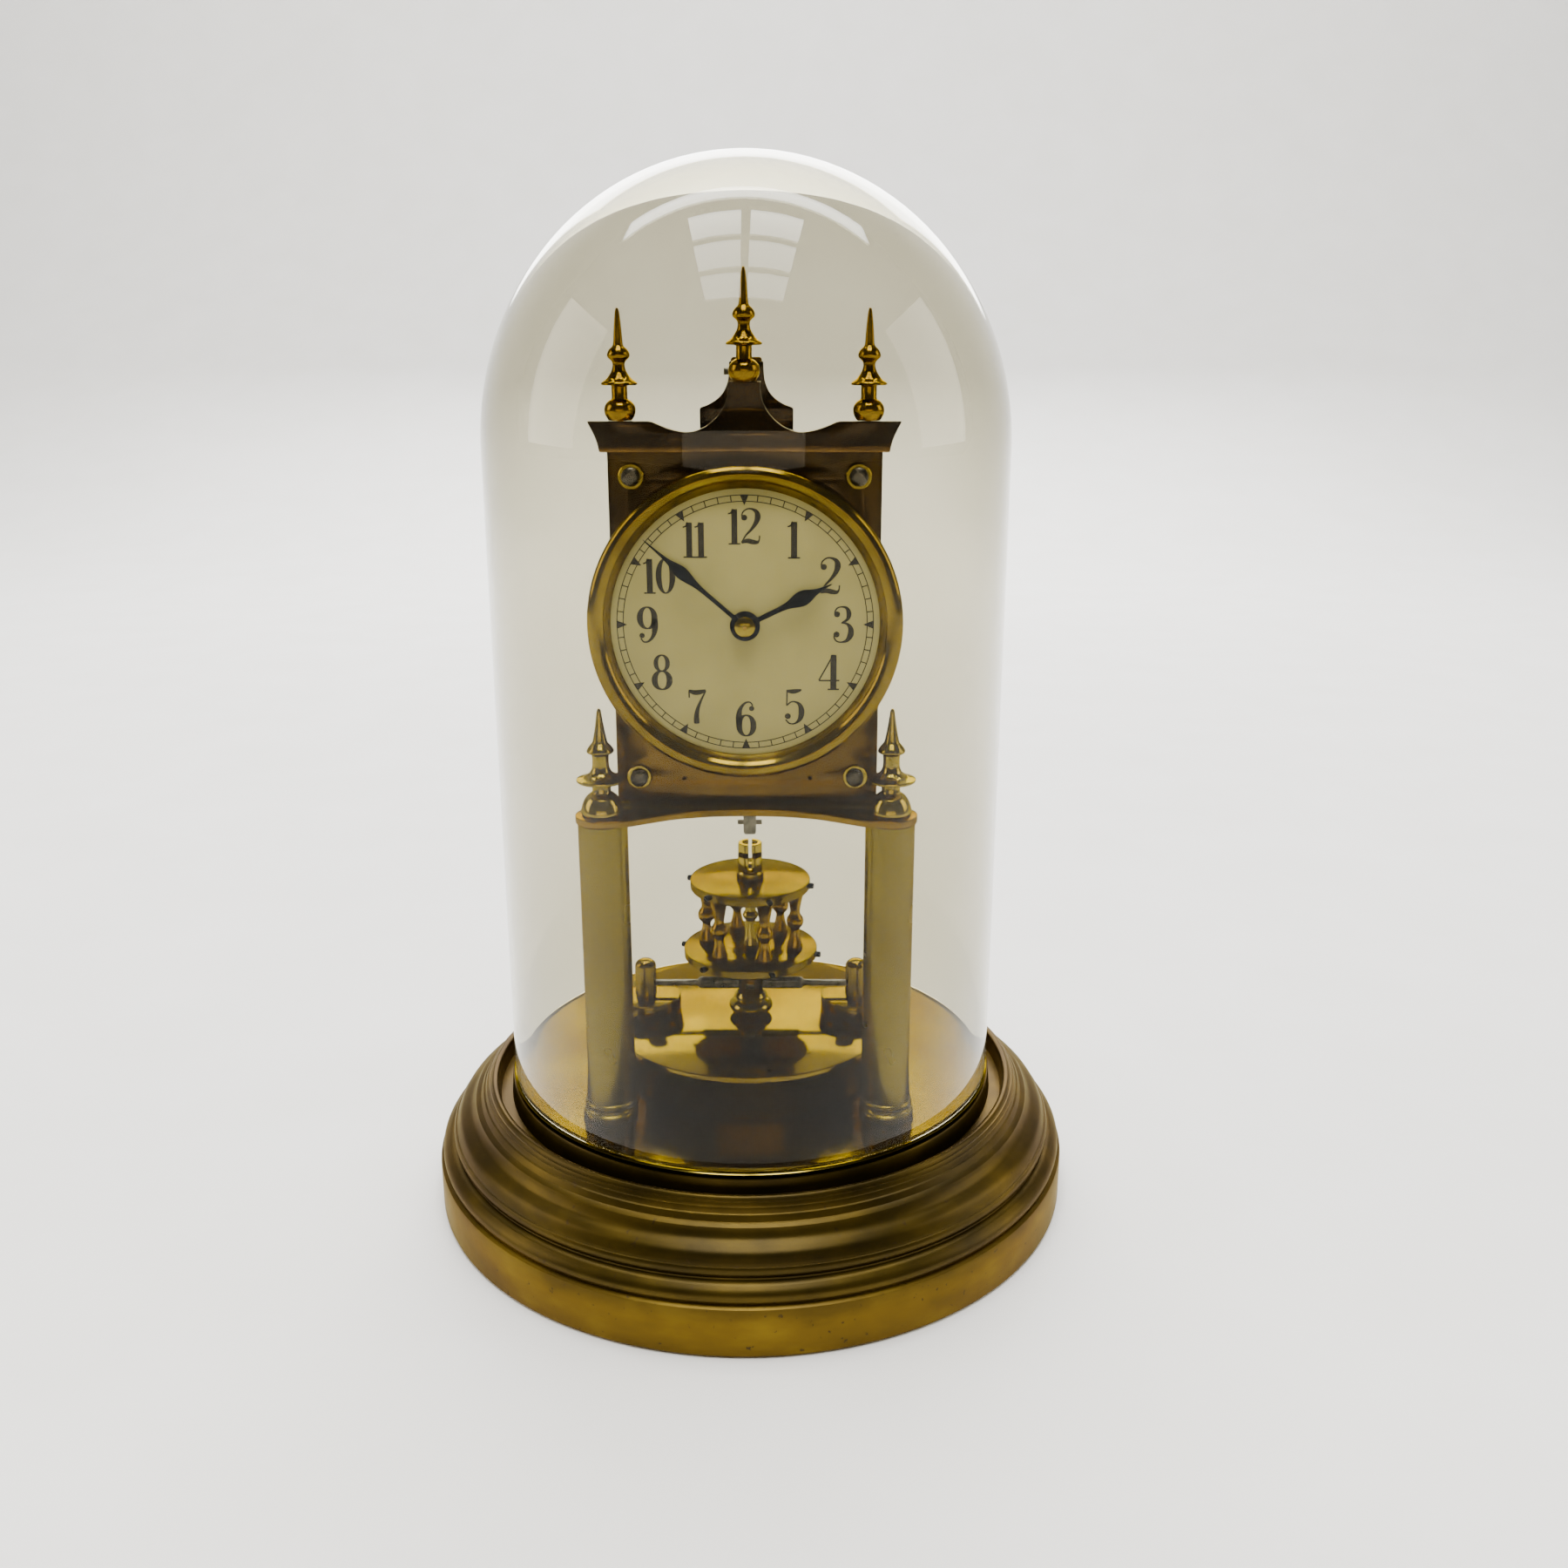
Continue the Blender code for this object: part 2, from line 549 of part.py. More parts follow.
def hour_hand():
    length = BEZEL_R * 0.613
    points = [(4.10, 0.62), (7.0, 0.62), (10.5, 0.62), (13.4, 1.05), (15.6, 1.9), (17.4, 2.15),
              (19.2, 1.75), (21.2, 0.85), (23.4, 0.45), (length, 0.0)]
    return hand("hour_hand", points, HOUR_TURN, 2.0 + 0.03, 4.15, HOUR_Y - 0.5, HOUR_Y)


def minute_hand():
    length = BEZEL_R * 0.838
    points = [(2.55, 0.5), (6.0, 0.5), (14.0, 0.52), (17.6, 0.8), (20.4, 1.45), (22.4, 1.75),
              (24.4, 1.35), (27.0, 0.65), (30.0, 0.4), (length, 0.0)]
    return hand("minute_hand", points, MINUTE_HAND_TURN, 0.9 + 0.03, 2.6, MINUTE_Y - 0.5,
                MINUTE_Y)


def hand_washer():
    """Domed brass washer that holds the minute hand down."""
    profile = [(0.62, 0.95), (1.2, 0.9), (2.2, 0.5), (2.8, 0.0), (0.62, 0.0)]
    shape = moved(turned(profile, 16, closed=True), 0, CANNON_TIP - SEAT, DIAL_Z, "-Y")
    return place("hand_washer", shape, BRASS)


# ---- motion work ---------------------------------------------------------
def gear(at, teeth, module, phase, y0, y1):
    return sheet([gear_loop(teeth, module, phase)], y0, y1, at=at)


def cannon_pinion():
    """Tube with ten leaves that carries the minute hand."""
    back = FRONT_Y1 - SEAT
    phase = aim(MINUTE, CENTRE) + pi + pi / CANNON_LEAVES
    part = place("cannon_pinion", gear(CENTRE, CANNON_LEAVES, MINUTE_WHEEL[1], phase,
                                       FRONT_Y1 - 3.0, back), STEEL)
    boolean(part, "UNION", rod(1.25, HOUR_Y - 0.7, back - 0.1, *CENTRE, 16))
    boolean(part, "UNION", rod(0.9, CANNON_TIP, back - 0.2, *CENTRE, 16))
    return boolean(part, "DIFFERENCE", rod(0.55 + 0.04, CANNON_TIP - 1, back + 1, *CENTRE, 16))


def minute_wheel():
    """Idler of the motion work: thirty teeth with an eight-leaf pinion."""
    near, far = FRONT_Y1 - 1.0, FRONT_Y1 - 1.9
    part = place("minute_wheel", gear(MINUTE, *MINUTE_WHEEL, aim(MINUTE, CENTRE), far, near),
                 BRASS)
    phase = aim(MINUTE, CENTRE) + pi / MINUTE_LEAVES
    boolean(part, "UNION", gear(MINUTE, MINUTE_LEAVES, HOUR_WHEEL[1], phase,
                                FRONT_Y1 - 5.8, near - 0.3))
    return boolean(part, "DIFFERENCE", rod(0.65 + RUN, FRONT_Y1 - 7, FRONT_Y1, *MINUTE, 12))


def hour_wheel():
    """Hour wheel on the long pipe that carries the hour hand."""
    near, far = FRONT_Y1 - 4.2, FRONT_Y1 - 5.1
    phase = aim(CENTRE, MINUTE)
    part = place("hour_wheel", gear(CENTRE, *HOUR_WHEEL, phase, far, near), BRASS)
    boolean(part, "UNION", rod(2.0, HOUR_Y - 0.6, near - 0.1, *CENTRE, 20))
    return boolean(part, "DIFFERENCE", rod(1.25 + RUN, HOUR_Y - 2, FRONT_Y1, *CENTRE, 20))


# ---- mainspring barrel ---------------------------------------------------
BARREL_F = FRONT_Y0 + 0.7              # front face of the barrel
BARREL_B = BACK_Y1 - 4.1               # rear face of the barrel
DRUM_R = 17.5
CORE_R = 3.2
SQUARE = 2.3                           # winding square across flats


def barrel():
    """Brass drum with its great wheel; the mainspring lives inside."""
    depth = BARREL_B - BARREL_F
    hole = 1.75 + RUN
    profile = [(hole, 0), (DRUM_R, 0), (DRUM_R, depth), (hole, depth), (hole, depth - 1.0),
               (DRUM_R - 1.0, depth - 1.0), (DRUM_R - 1.0, 1.0), (hole, 1.0)]
    shape = moved(turned(profile, 24, closed=True), BARREL[0], BARREL_B, BARREL[1], "-Y")
    part = place("barrel", shape, BRASS)
    loops = [gear_loop(*WHEELS["barrel"], aim(BARREL, FIRST)), circle(0, 0, DRUM_R - 0.6, 24)]
    return boolean(part, "UNION", sheet(loops, BARREL_F + 0.3, BARREL_F + 1.8, at=BARREL))


def barrel_arbor():
    """Steel winding arbor: front pivot, spring core, rear square for the key."""
    x, z = BARREL
    start = BACK_Y0 + 2.0
    front = start - FRONT_Y1 - 0.1
    core_f, core_b = start - BARREL_F - 1.3, start - BARREL_B + 1.3
    profile = [(0, front), (1.2, front), (1.2, start - FRONT_Y0 - SEAT),
               (1.75, start - FRONT_Y0 - SEAT), (1.75, core_f), (CORE_R, core_f),
               (CORE_R, core_b), (1.75, core_b), (1.75, start - BACK_Y1 + SEAT),
               (1.7, start - BACK_Y1 + SEAT), (1.7, 1.7), (0, 1.7)]
    part = place("barrel_arbor", moved(turned(profile, 12), x, start, z, "-Y"), STEEL)
    s = SQUARE / 2
    square = block(x - s, x + s, BACK_Y0 - 0.1, BACK_Y0 + 7.5, z - s, z + s)
    return boolean(part, "UNION", square)


def mainspring():
    """Coiled steel ribbon between the barrel core and the barrel wall."""
    turns, steps = 3.5, 49
    r0, r1, thick = CORE_R + 0.45, DRUM_R - 1.45, 0.5
    outer, inner = [], []
    for k in range(steps + 1):
        a = -2 * pi * turns * k / steps
        r = r0 + (r1 - thick - r0) * k / steps
        outer.append(((r + thick) * cos(a), (r + thick) * sin(a)))
        inner.append((r * cos(a), r * sin(a)))
    shape = sheet([outer + inner[::-1]], BARREL_F + 1.3, BARREL_B - 1.3, at=BARREL)
    return place("mainspring", shape, STEEL)


RATCHET_TEETH = 20
RATCHET_R = 6.6


def ratchet_wheel():
    """Saw-toothed winding ratchet on the arbor square."""
    loop = []
    for k in range(RATCHET_TEETH):
        a = 2 * pi * k / RATCHET_TEETH
        loop.append(((RATCHET_R - 1.0) * cos(a), (RATCHET_R - 1.0) * sin(a)))
        a += 0.06 * 2 * pi / RATCHET_TEETH
        loop.append((RATCHET_R * cos(a), RATCHET_R * sin(a)))
    s = SQUARE / 2 + FIT
    hole = [(-s, -s), (s, -s), (s, s), (-s, s)]
    shape = sheet([loop, hole], BACK_Y0 + 0.3, BACK_Y0 + 1.5, at=BARREL)
    return place("ratchet_wheel", shape, STEEL)


def click():
    """Steel pawl on its stud, nose in the ratchet teeth."""
    a = aim(CLICK, BARREL)
    reach = hypot(CLICK[0] - BARREL[0], CLICK[1] - BARREL[1]) - RATCHET_R
    points = [(-1.9, 0.6), (-1.2, 1.7), (0.4, 2.0), (2.2, 1.6), (reach - 0.5, 0.9),
              (reach - 0.15, 0.3), (reach - 0.6, -0.7), (1.8, -1.7), (-0.6, -2.0), (-1.8, -1.0)]
    outline = [(x * cos(a) - w * sin(a), x * sin(a) + w * cos(a)) for x, w in points]
    hole = circle(0, 0, 0.9 + RUN, 12)
    shape = sheet([outline, hole], BACK_Y0 + 0.4, BACK_Y0 + 1.4, at=CLICK)
    return place("click", shape, STEEL)


# ---- going train ---------------------------------------------------------
ARBOR_R = 0.9
PIVOT_R = 0.55
FRONT_PIVOT_R = 0.75                   # centre arbor, where it passes the front plate
POST_HAND_R = 0.55                     # centre arbor, inside the cannon pinion


def arbor(name, at, front=()):
    """Steel arbor between the plates with a pivot at each end."""
    long = PLATE_GAP - 2 * SEAT
    out = PLATE_T + SEAT - 0.1
    front = list(front) or [(0, long + out), (PIVOT_R, long + out), (PIVOT_R, long)]
    profile = front + [(ARBOR_R, long), (ARBOR_R, 0), (PIVOT_R, 0), (PIVOT_R, -out), (0, -out)]
    shape = moved(turned(profile, 12), at[0], BACK_Y1 - SEAT, at[1], "-Y")
    return place(name, shape, STEEL)


def first_arbor():
    """Slow intermediate: six leaves on the barrel, large wheel at the back."""
    part = arbor("first_arbor", FIRST)
    phase = aim(BARREL, FIRST) + pi + pi / PINIONS["first"]
    boolean(part, "UNION", gear(FIRST, PINIONS["first"], WHEELS["barrel"][1], phase,
                                BARREL_F - 0.1, BARREL_F + 2.2))
    return boolean(part, "UNION", gear(FIRST, *WHEELS["first"], aim(FIRST, SECOND),
                                       BACK_Y1 - 3.3, BACK_Y1 - 2.5))


def second_arbor():
    """Second intermediate, driving the centre pinion."""
    part = arbor("second_arbor", SECOND)
    phase = aim(FIRST, SECOND) + pi + pi / PINIONS["second"]
    boolean(part, "UNION", gear(SECOND, PINIONS["second"], WHEELS["first"][1], phase,
                                BACK_Y1 - 3.6, BACK_Y1 - 2.2))
    return boolean(part, "UNION", gear(SECOND, *WHEELS["second"], aim(SECOND, CENTRE),
                                       BACK_Y1 - 1.7, BACK_Y1 - 0.9))


def centre_arbor():
    """Once-an-hour arbor; its long front end carries the cannon pinion."""
    start = BACK_Y1 - SEAT
    tip, shoulder = start - CANNON_TIP + 1.6, start - FRONT_Y1 + 0.1
    front = [(0, tip), (POST_HAND_R, tip), (POST_HAND_R, shoulder), (FRONT_PIVOT_R, shoulder),
             (FRONT_PIVOT_R, start - FRONT_Y0 - SEAT)]
    part = arbor("centre_arbor", CENTRE, front)
    phase = aim(SECOND, CENTRE) + pi + pi / PINIONS["centre"]
    boolean(part, "UNION", gear(CENTRE, PINIONS["centre"], WHEELS["second"][1], phase,
                                BACK_Y1 - 2.0, BACK_Y1 - 0.6))
    return boolean(part, "UNION", gear(CENTRE, *WHEELS["centre"], aim(CENTRE, THIRD),
                                       FRONT_Y0 + 5.5, FRONT_Y0 + 6.3))


def third_arbor():
    """Third arbor between the centre wheel and the escape pinion."""
    part = arbor("third_arbor", THIRD)
    phase = aim(CENTRE, THIRD) + pi + pi / PINIONS["third"]
    boolean(part, "UNION", gear(THIRD, PINIONS["third"], WHEELS["centre"][1], phase,
                                FRONT_Y0 + 5.2, FRONT_Y0 + 6.6))
    return boolean(part, "UNION", gear(THIRD, *WHEELS["third"], aim(THIRD, ESCAPE),
                                       FRONT_Y0 + 11.5, FRONT_Y0 + 12.3))


def escape_arbor():
    """Escape wheel with twenty pointed teeth."""
    part = arbor("escape_arbor", ESCAPE)
    phase = aim(THIRD, ESCAPE) + pi + pi / PINIONS["escape"]
    boolean(part, "UNION", gear(ESCAPE, PINIONS["escape"], WHEELS["third"][1], phase,
                                FRONT_Y0 + 11.2, FRONT_Y0 + 12.6))
    loop = []
    for k in range(ESCAPE_TEETH):
        a = 2 * pi * (k + 0.5) / ESCAPE_TEETH
        step = 2 * pi / ESCAPE_TEETH
        for radius, turn in ((ESCAPE_R - 1.9, -0.42), (ESCAPE_R, -0.05), (ESCAPE_R, 0.03),
                             (ESCAPE_R - 1.9, 0.12)):
            loop.append((radius * cos(a + turn * step), radius * sin(a + turn * step)))
    return boolean(part, "UNION", sheet([loop], FRONT_Y0 + 8.0, FRONT_Y0 + 8.7, at=ESCAPE))


FORK_Z = ANCHOR[1] + 7.2


def anchor():
    """Pallet anchor on its arbor, with the upright pin that works in the fork."""
    part = arbor("anchor", ANCHOR)
    tip = ESCAPE_R + 0.32
    reach = radians(40.5)
    toe = (tip * sin(reach), ESCAPE[1] + tip * cos(reach))
    heel = ((tip + 2.6) * sin(reach), ESCAPE[1] + (tip + 2.6) * cos(reach))
    z = ANCHOR[1]
    right = [(0, z - 2.2), (2.4, z - 2.9), (toe[0] - 0.9, toe[1] + 1.2), (toe[0] - 0.5, toe[1] + 0.35),
             (toe[0] + 0.4, toe[1] - 0.1), (heel[0] + 0.5, heel[1] - 0.6), (heel[0], heel[1] + 0.5),
             (3.0, z + 0.4), (1.4, z + 1.9)]
    outline = right + [(-x, h) for x, h in reversed(right[1:])]
    boolean(part, "UNION", sheet([outline], FRONT_Y0 + 7.6, FRONT_Y0 + 9.1))
    boolean(part, "UNION", rod(0.75, BACK_Y1 - 1.0, BACK_Y0 + 2.9, *ANCHOR, 10))
    return boolean(part, "UNION", upright(0.3, z, FORK_Z + 1.7, 0, BACK_Y0 + 2.1, 8))


# ---- suspension ----------------------------------------------------------
SLOT_X = 1.15
SADDLE_Z = TOP_BLOCK_Z0 + 5.4
SADDLE_R = 0.55
HEAD_HALF = 4.4


def suspension_bracket():
    """Cock on the back plate: concave shoulders and a slotted head for the spring."""
    z, g = BRACKET_Z0, GALLERY_Z0
    right = [(13.3, z), (13.3, g + 10.8), (10.4, g + 11.8), (8.0, g + 13.4), (6.3, g + 15.4),
             (5.2, g + 18.2), (4.9, g + 21.0), (4.9, g + 23.4)]
    outline = right + [(-x, h) for x, h in reversed(right)]
    y = BACK_Y0 + SEAT
    part = place("suspension_bracket", sheet([outline], y, y + 1.8), DARK_BRASS)
    head = block(-HEAD_HALF, HEAD_HALF, y + 1.4, 2.6, TOP_BLOCK_Z0 + 0.4, TOP_BLOCK_Z1 + 2.0)
    boolean(part, "UNION", head)
    boolean(part, "DIFFERENCE", block(-SLOT_X, SLOT_X, -1.6, 4.0, TOP_BLOCK_Z0 - 2,
                                      TOP_BLOCK_Z1 + 4))
    return boolean(part, "DIFFERENCE", cross_rod(SADDLE_R + FIT, -12, 12, 0, SADDLE_Z))


def saddle_screw():
    """Cross screw that pins the top block in the bracket."""
    under_head = -HEAD_HALF - SEAT
    profile = [(0, under_head - 1.9), (1.15, under_head - 1.9), (1.15, under_head),
               (SADDLE_R, under_head), (SADDLE_R, HEAD_HALF + 0.2), (0, HEAD_HALF + 0.2)]
    shape = moved(turned(profile, 12), 0, 0, SADDLE_Z, "X")
    return place("saddle_screw", shape, STEEL)


def top_block():
    part = place("suspension_top_block",
                 block(-0.9, 0.9, -1.3, 1.3, TOP_BLOCK_Z0, TOP_BLOCK_Z1), BRASS)
    return boolean(part, "DIFFERENCE", cross_rod(SADDLE_R + FIT, -3, 3, 0, SADDLE_Z))


def suspension_spring():
    """Flat alloy ribbon between the two blocks."""
    return place("suspension_spring",
                 block(-0.5, 0.5, -0.07, 0.07, LOW_BLOCK_Z1 + 0.15, TOP_BLOCK_Z0 - 0.15), STEEL)


def suspension_fork():
    """Small fork clamped on the spring; the anchor pin stands between its tines."""
    back = [(-1.6, -1.0), (-1.25, -1.0), (-1.25, -4.2), (-0.6, -4.2), (-0.6, -1.0), (0.6, -1.0),
            (0.6, -4.2), (1.25, -4.2), (1.25, -1.0), (1.6, -1.0), (1.6, 1.0), (-1.6, 1.0)]
    slot = [(-0.65, -0.22), (0.65, -0.22), (0.65, 0.22), (-0.65, 0.22)]
    return place("suspension_fork", sheet([back, slot], FORK_Z - 1.2, FORK_Z + 1.2, "XY"), BRASS)


def bottom_block():
    """Lower block with the cross pin the pendulum hook hangs on."""
    z0, z1 = LOW_BLOCK_Z0, LOW_BLOCK_Z1
    outline = [(-1.5, z0), (1.5, z0), (1.95, z0 + 0.7), (1.95, z1), (-1.95, z1), (-1.95, z0 + 0.7)]
    part = place("suspension_bottom_block", sheet([outline], -1.1, 1.1), STEEL)
    return boolean(part, "UNION", cross_rod(0.75, -3.75, 3.75, 0, HANG_PIN_Z))


# ---- pendulum ------------------------------------------------------------
def pendulum_disc():
    """Heavy disc: flat polished top, rim band, plain side."""
    r, low, high = PENDULUM_R, DISC_Z0, DISC_Z1
    profile = [(2.3 + FIT, high), (r, high), (r, high - 2.5), (r - 1.0, high - 2.8),
               (r - 1.0, low + 0.6), (r - 1.5, low), (2.3 + FIT, low)]
    return place("pendulum_disc", turned(profile, 48, closed=True), BRASS)


def pendulum_spindle():
    """Turned spindle: foot and knop, stem, middle baluster, collar and hook."""
    z, c1, c2, c3 = DISC_Z1 + SEAT, CROWN_Z1 + SEAT, CROWN_Z2 - SEAT, CROWN_Z3 + SEAT
    profile = [(0, HOOK_TOP - 9.0), (2.35, HOOK_TOP - 9.0), (2.35, HOOK_TOP), (3.7, HOOK_TOP),
               (3.9, c3 + 2.2), (4.3, c3 + 1.8), (4.3, c3), (2.4, c3), (2.4, c2), (2.9, c2),
               (1.7, c2 - 8.0), (2.5, c2 - 9.6), (1.5, c2 - 11.6), (2.9, c1 + 0.6), (2.9, c1),
               (2.4, c1), (2.4, CROWN_Z0 - SEAT), (STEM_R, CROWN_Z0 - SEAT), (STEM_R, z + 7.0),
               (5.2, z + 6.0), (4.7, z + 5.0), (7.0, z + 2.9), (5.4, z), (2.3, z),
               (2.3, DISC_Z0 + 0.4), (0, DISC_Z0 + 0.4)]
    part = place("pendulum_spindle", turned(profile, 20), BRASS)
    boolean(part, "DIFFERENCE", cross_rod(ROD_GRIP_R + 0.25, -8, 8, 0, ROD_Z, 16))
    boolean(part, "DIFFERENCE", block(-1.35, 1.35, -6, -0.4, ROD_Z - 4.6, ROD_Z + 1.2))
    boolean(part, "DIFFERENCE", block(-0.55, 0.55, -6, 6, HOOK_TOP - 8.0, HOOK_TOP + 2))
    catch = block(-6, 6, -6, 0.6, HOOK_TOP - 4.4, HOOK_TOP - 2.6)
    return boolean(part, "DIFFERENCE", catch)


def crown_spots():
    return [(BALUSTER_RING * sin(CROWN_TURN + k * pi / 3), -BALUSTER_RING * cos(CROWN_TURN + k * pi / 3))
            for k in range(6)]


def crown_disc(name, radius, low, high):
    """Flat disc drilled for the spindle and the six balusters."""
    bore = 2.4 + FIT
    profile = [(bore, high), (radius - 0.35, high), (radius, high - 0.35), (radius, low),
               (bore, low)]
    part = place(name, turned(profile, 28, closed=True), BRASS)
    holes = [upright(1.0 + FIT, low - 1, high + 1, x, y, 8) for x, y in crown_spots()]
    return boolean(part, "DIFFERENCE", *holes)


def baluster(index, x, y):
    """Turned baluster between the crown discs, pinned at both ends."""
    a, b = CROWN_Z1 + SEAT, CROWN_Z2 - SEAT
    m = a + 9.2
    profile = [(0, b + 2.2), (1.0, b + 2.2), (1.0, b), (2.9, b), (1.6, m + 2.9), (2.7, m),
               (1.35, m - 2.9), (2.5, a + 1.2), (2.5, a), (1.0, a), (1.0, a - 1.9), (0, a - 1.9)]
    return place("baluster_%d" % index, moved(turned(profile, 12), x, y), BRASS)


def regulator_rod():
    """Right-and-left threaded rod with a thicker grip in the middle."""
    end = WEIGHT_X + 0.4
    profile = [(0, -end), (ROD_R, -end), (ROD_R, -17.2), (ROD_GRIP_R, -16.2), (ROD_GRIP_R, 16.2),
               (ROD_R, 17.2), (ROD_R, end), (0, end)]
    return place("regulator_rod", moved(turned(profile, 16), 0, 0, ROD_Z, "X"), STEEL)


def weight(side):
    """Sliding regulating weight with the post its rod end works in."""
    z = DISC_Z1 + SEAT
    profile = [(0, POST_TOP), (2.2, POST_TOP - 0.5), (POST_R, POST_TOP - 1.9),
               (POST_R, z + WEIGHT_H), (WEIGHT_R - 0.3, z + WEIGHT_H),
               (WEIGHT_R, z + WEIGHT_H - 0.3), (WEIGHT_R, z), (0, z)]
    name = "weight_left" if side < 0 else "weight_right"
    part = place(name, moved(turned(profile, 20), side * WEIGHT_X), BRASS)
    near, far = sorted((side * (WEIGHT_X - POST_R - 2), side * (WEIGHT_X + 2.8)))
    return boolean(part, "DIFFERENCE", cross_rod(ROD_R + RUN, near, far, 0, ROD_Z, 16))


# ---- build everything in assembly order ----------------------------------
base_shell()
base_plate()
for hand_side in (-1, 1):
    column(hand_side)
platform()
for hand_side in (-1, 1):
    column_finial(hand_side)
front_plate()
back_plate()
for hand_side in (-1, 1):
    for level_row in (0, 1):
        pillar(hand_side, level_row)
        plate_screw(hand_side, level_row)
gallery()
gallery_finial("gallery_finial_left", -FINIAL_X, FLAT_Z)
gallery_finial("gallery_finial_centre", 0.0, PEAK_Z)
gallery_finial("gallery_finial_right", FINIAL_X, FLAT_Z)
barrel()
barrel_arbor()
mainspring()
ratchet_wheel()
click()
first_arbor()
second_arbor()
centre_arbor()
third_arbor()
escape_arbor()
anchor()
cannon_pinion()
minute_wheel()
hour_wheel()
dial()
bezel()
hour_hand()
minute_hand()
hand_washer()
suspension_bracket()
saddle_screw()
top_block()
suspension_spring()
suspension_fork()
bottom_block()
pendulum_disc()
pendulum_spindle()
crown_disc("crown_disc_lower", CROWN_LOW_R, CROWN_Z0, CROWN_Z1)
crown_disc("crown_disc_upper", CROWN_TOP_R, CROWN_Z2, CROWN_Z3)
for number, (spot_x, spot_y) in enumerate(crown_spots(), 1):
    baluster(number, spot_x, spot_y)
regulator_rod()
weight(-1)
weight(1)
glass_dome()
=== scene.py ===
from math import atan2, cos, hypot, pi, radians, sin

import bmesh
import bpy
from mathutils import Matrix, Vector


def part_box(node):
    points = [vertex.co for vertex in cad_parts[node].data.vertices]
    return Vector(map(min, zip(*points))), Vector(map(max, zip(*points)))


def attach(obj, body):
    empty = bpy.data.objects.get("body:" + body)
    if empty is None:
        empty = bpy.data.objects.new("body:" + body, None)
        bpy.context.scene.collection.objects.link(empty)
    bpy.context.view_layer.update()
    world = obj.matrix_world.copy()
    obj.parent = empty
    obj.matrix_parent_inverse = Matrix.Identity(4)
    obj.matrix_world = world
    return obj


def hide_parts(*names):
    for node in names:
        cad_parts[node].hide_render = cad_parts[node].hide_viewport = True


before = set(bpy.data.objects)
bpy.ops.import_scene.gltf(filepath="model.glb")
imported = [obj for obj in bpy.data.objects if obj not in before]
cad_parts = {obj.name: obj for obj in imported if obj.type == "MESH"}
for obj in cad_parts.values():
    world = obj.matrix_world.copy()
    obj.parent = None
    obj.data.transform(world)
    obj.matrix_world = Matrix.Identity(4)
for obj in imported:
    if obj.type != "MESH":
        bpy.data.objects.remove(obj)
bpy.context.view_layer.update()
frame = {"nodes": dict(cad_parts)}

MM = 0.001

# ---- camera, floor and lights -----------------------------------------------
# A small clock on a pale table, seen from just above dial height, under a
# skylight of six panes with a broad soft lamp on each side.


def hex_colour(code):
    """sRGB hex to the linear values that the shaders work in."""
    parts = [int(code[k:k + 2], 16) / 255 for k in (0, 2, 4)]
    linear = [c / 12.92 if c <= 0.04045 else ((c + 0.055) / 1.055) ** 2.4 for c in parts]
    return (*linear, 1.0)


def add_node(tree, kind, settings=None, links=None):
    """Add a node; settings are its own values or input values, links feed its inputs."""
    made = tree.nodes.new(kind)
    for key, value in (settings or {}).items():
        if isinstance(key, str) and hasattr(made, key):
            setattr(made, key, value)
        else:
            made.inputs[key].default_value = value
    for key, source in (links or {}).items():
        tree.links.new(source, made.inputs[key])
    return made


def new_material(name):
    made = bpy.data.materials.new(name)
    made.use_nodes = True
    made.node_tree.nodes.clear()
    return made, made.node_tree


def shade(tree, settings, links):
    """The surface shader and output that end a material; a metal's glancing light is straw yellow."""
    if settings.get("Metallic", 0) > 0.5 and "Specular Tint" not in settings:
        settings = {**settings, "Specular Tint": hex_colour("CDBE78")}
    shader = add_node(tree, "ShaderNodeBsdfPrincipled", settings, links)
    add_node(tree, "ShaderNodeOutputMaterial", links={"Surface": shader.outputs[0]})


def colour_ramp(tree, source, stops):
    """Colours set out along a pattern's values."""
    ramp = add_node(tree, "ShaderNodeValToRGB", links={"Fac": source})
    band = ramp.color_ramp
    while len(band.elements) < len(stops):
        band.elements.new(0.5)
    for element, (place, code) in zip(band.elements, stops):
        element.position = place
        element.color = hex_colour(code)
    return ramp.outputs["Color"]


def grey_ramp(tree, source, low, high, at=(0.3, 0.7)):
    """A pattern's values, stretched from the range at to the range low to high."""
    made = add_node(tree, "ShaderNodeMapRange", {"From Min": at[0], "From Max": at[1],
                                                 "To Min": low, "To Max": high}, {"Value": source})
    return made.outputs[0]


def mottling(tree, size_mm, detail=4.0, stretch=(1, 1, 1)):
    """Noise whose patches are about size_mm across."""
    place = add_node(tree, "ShaderNodeTexCoord")
    fitted = add_node(tree, "ShaderNodeMapping", {"Scale": stretch}, {"Vector": place.outputs["Object"]})
    made = add_node(tree, "ShaderNodeTexNoise", {"Scale": 1 / (size_mm * MM), "Detail": detail},
                    {"Vector": fitted.outputs[0]})
    return made.outputs["Fac"]


def blend_colour(tree, amount, first, second):
    """The first colour where amount is 0, the second where it is 1."""
    made = add_node(tree, "ShaderNodeMix", {"data_type": "RGBA"})
    tree.links.new(amount, made.inputs[0])
    tree.links.new(first, made.inputs[6])
    tree.links.new(second, made.inputs[7])
    return made.outputs[2]


def bump(tree, height, depth_mm, strength):
    """Fine relief from a pattern, about depth_mm deep."""
    made = add_node(tree, "ShaderNodeBump", {"Strength": strength, "Distance": depth_mm * MM},
                    {"Height": height})
    return made.outputs[0]


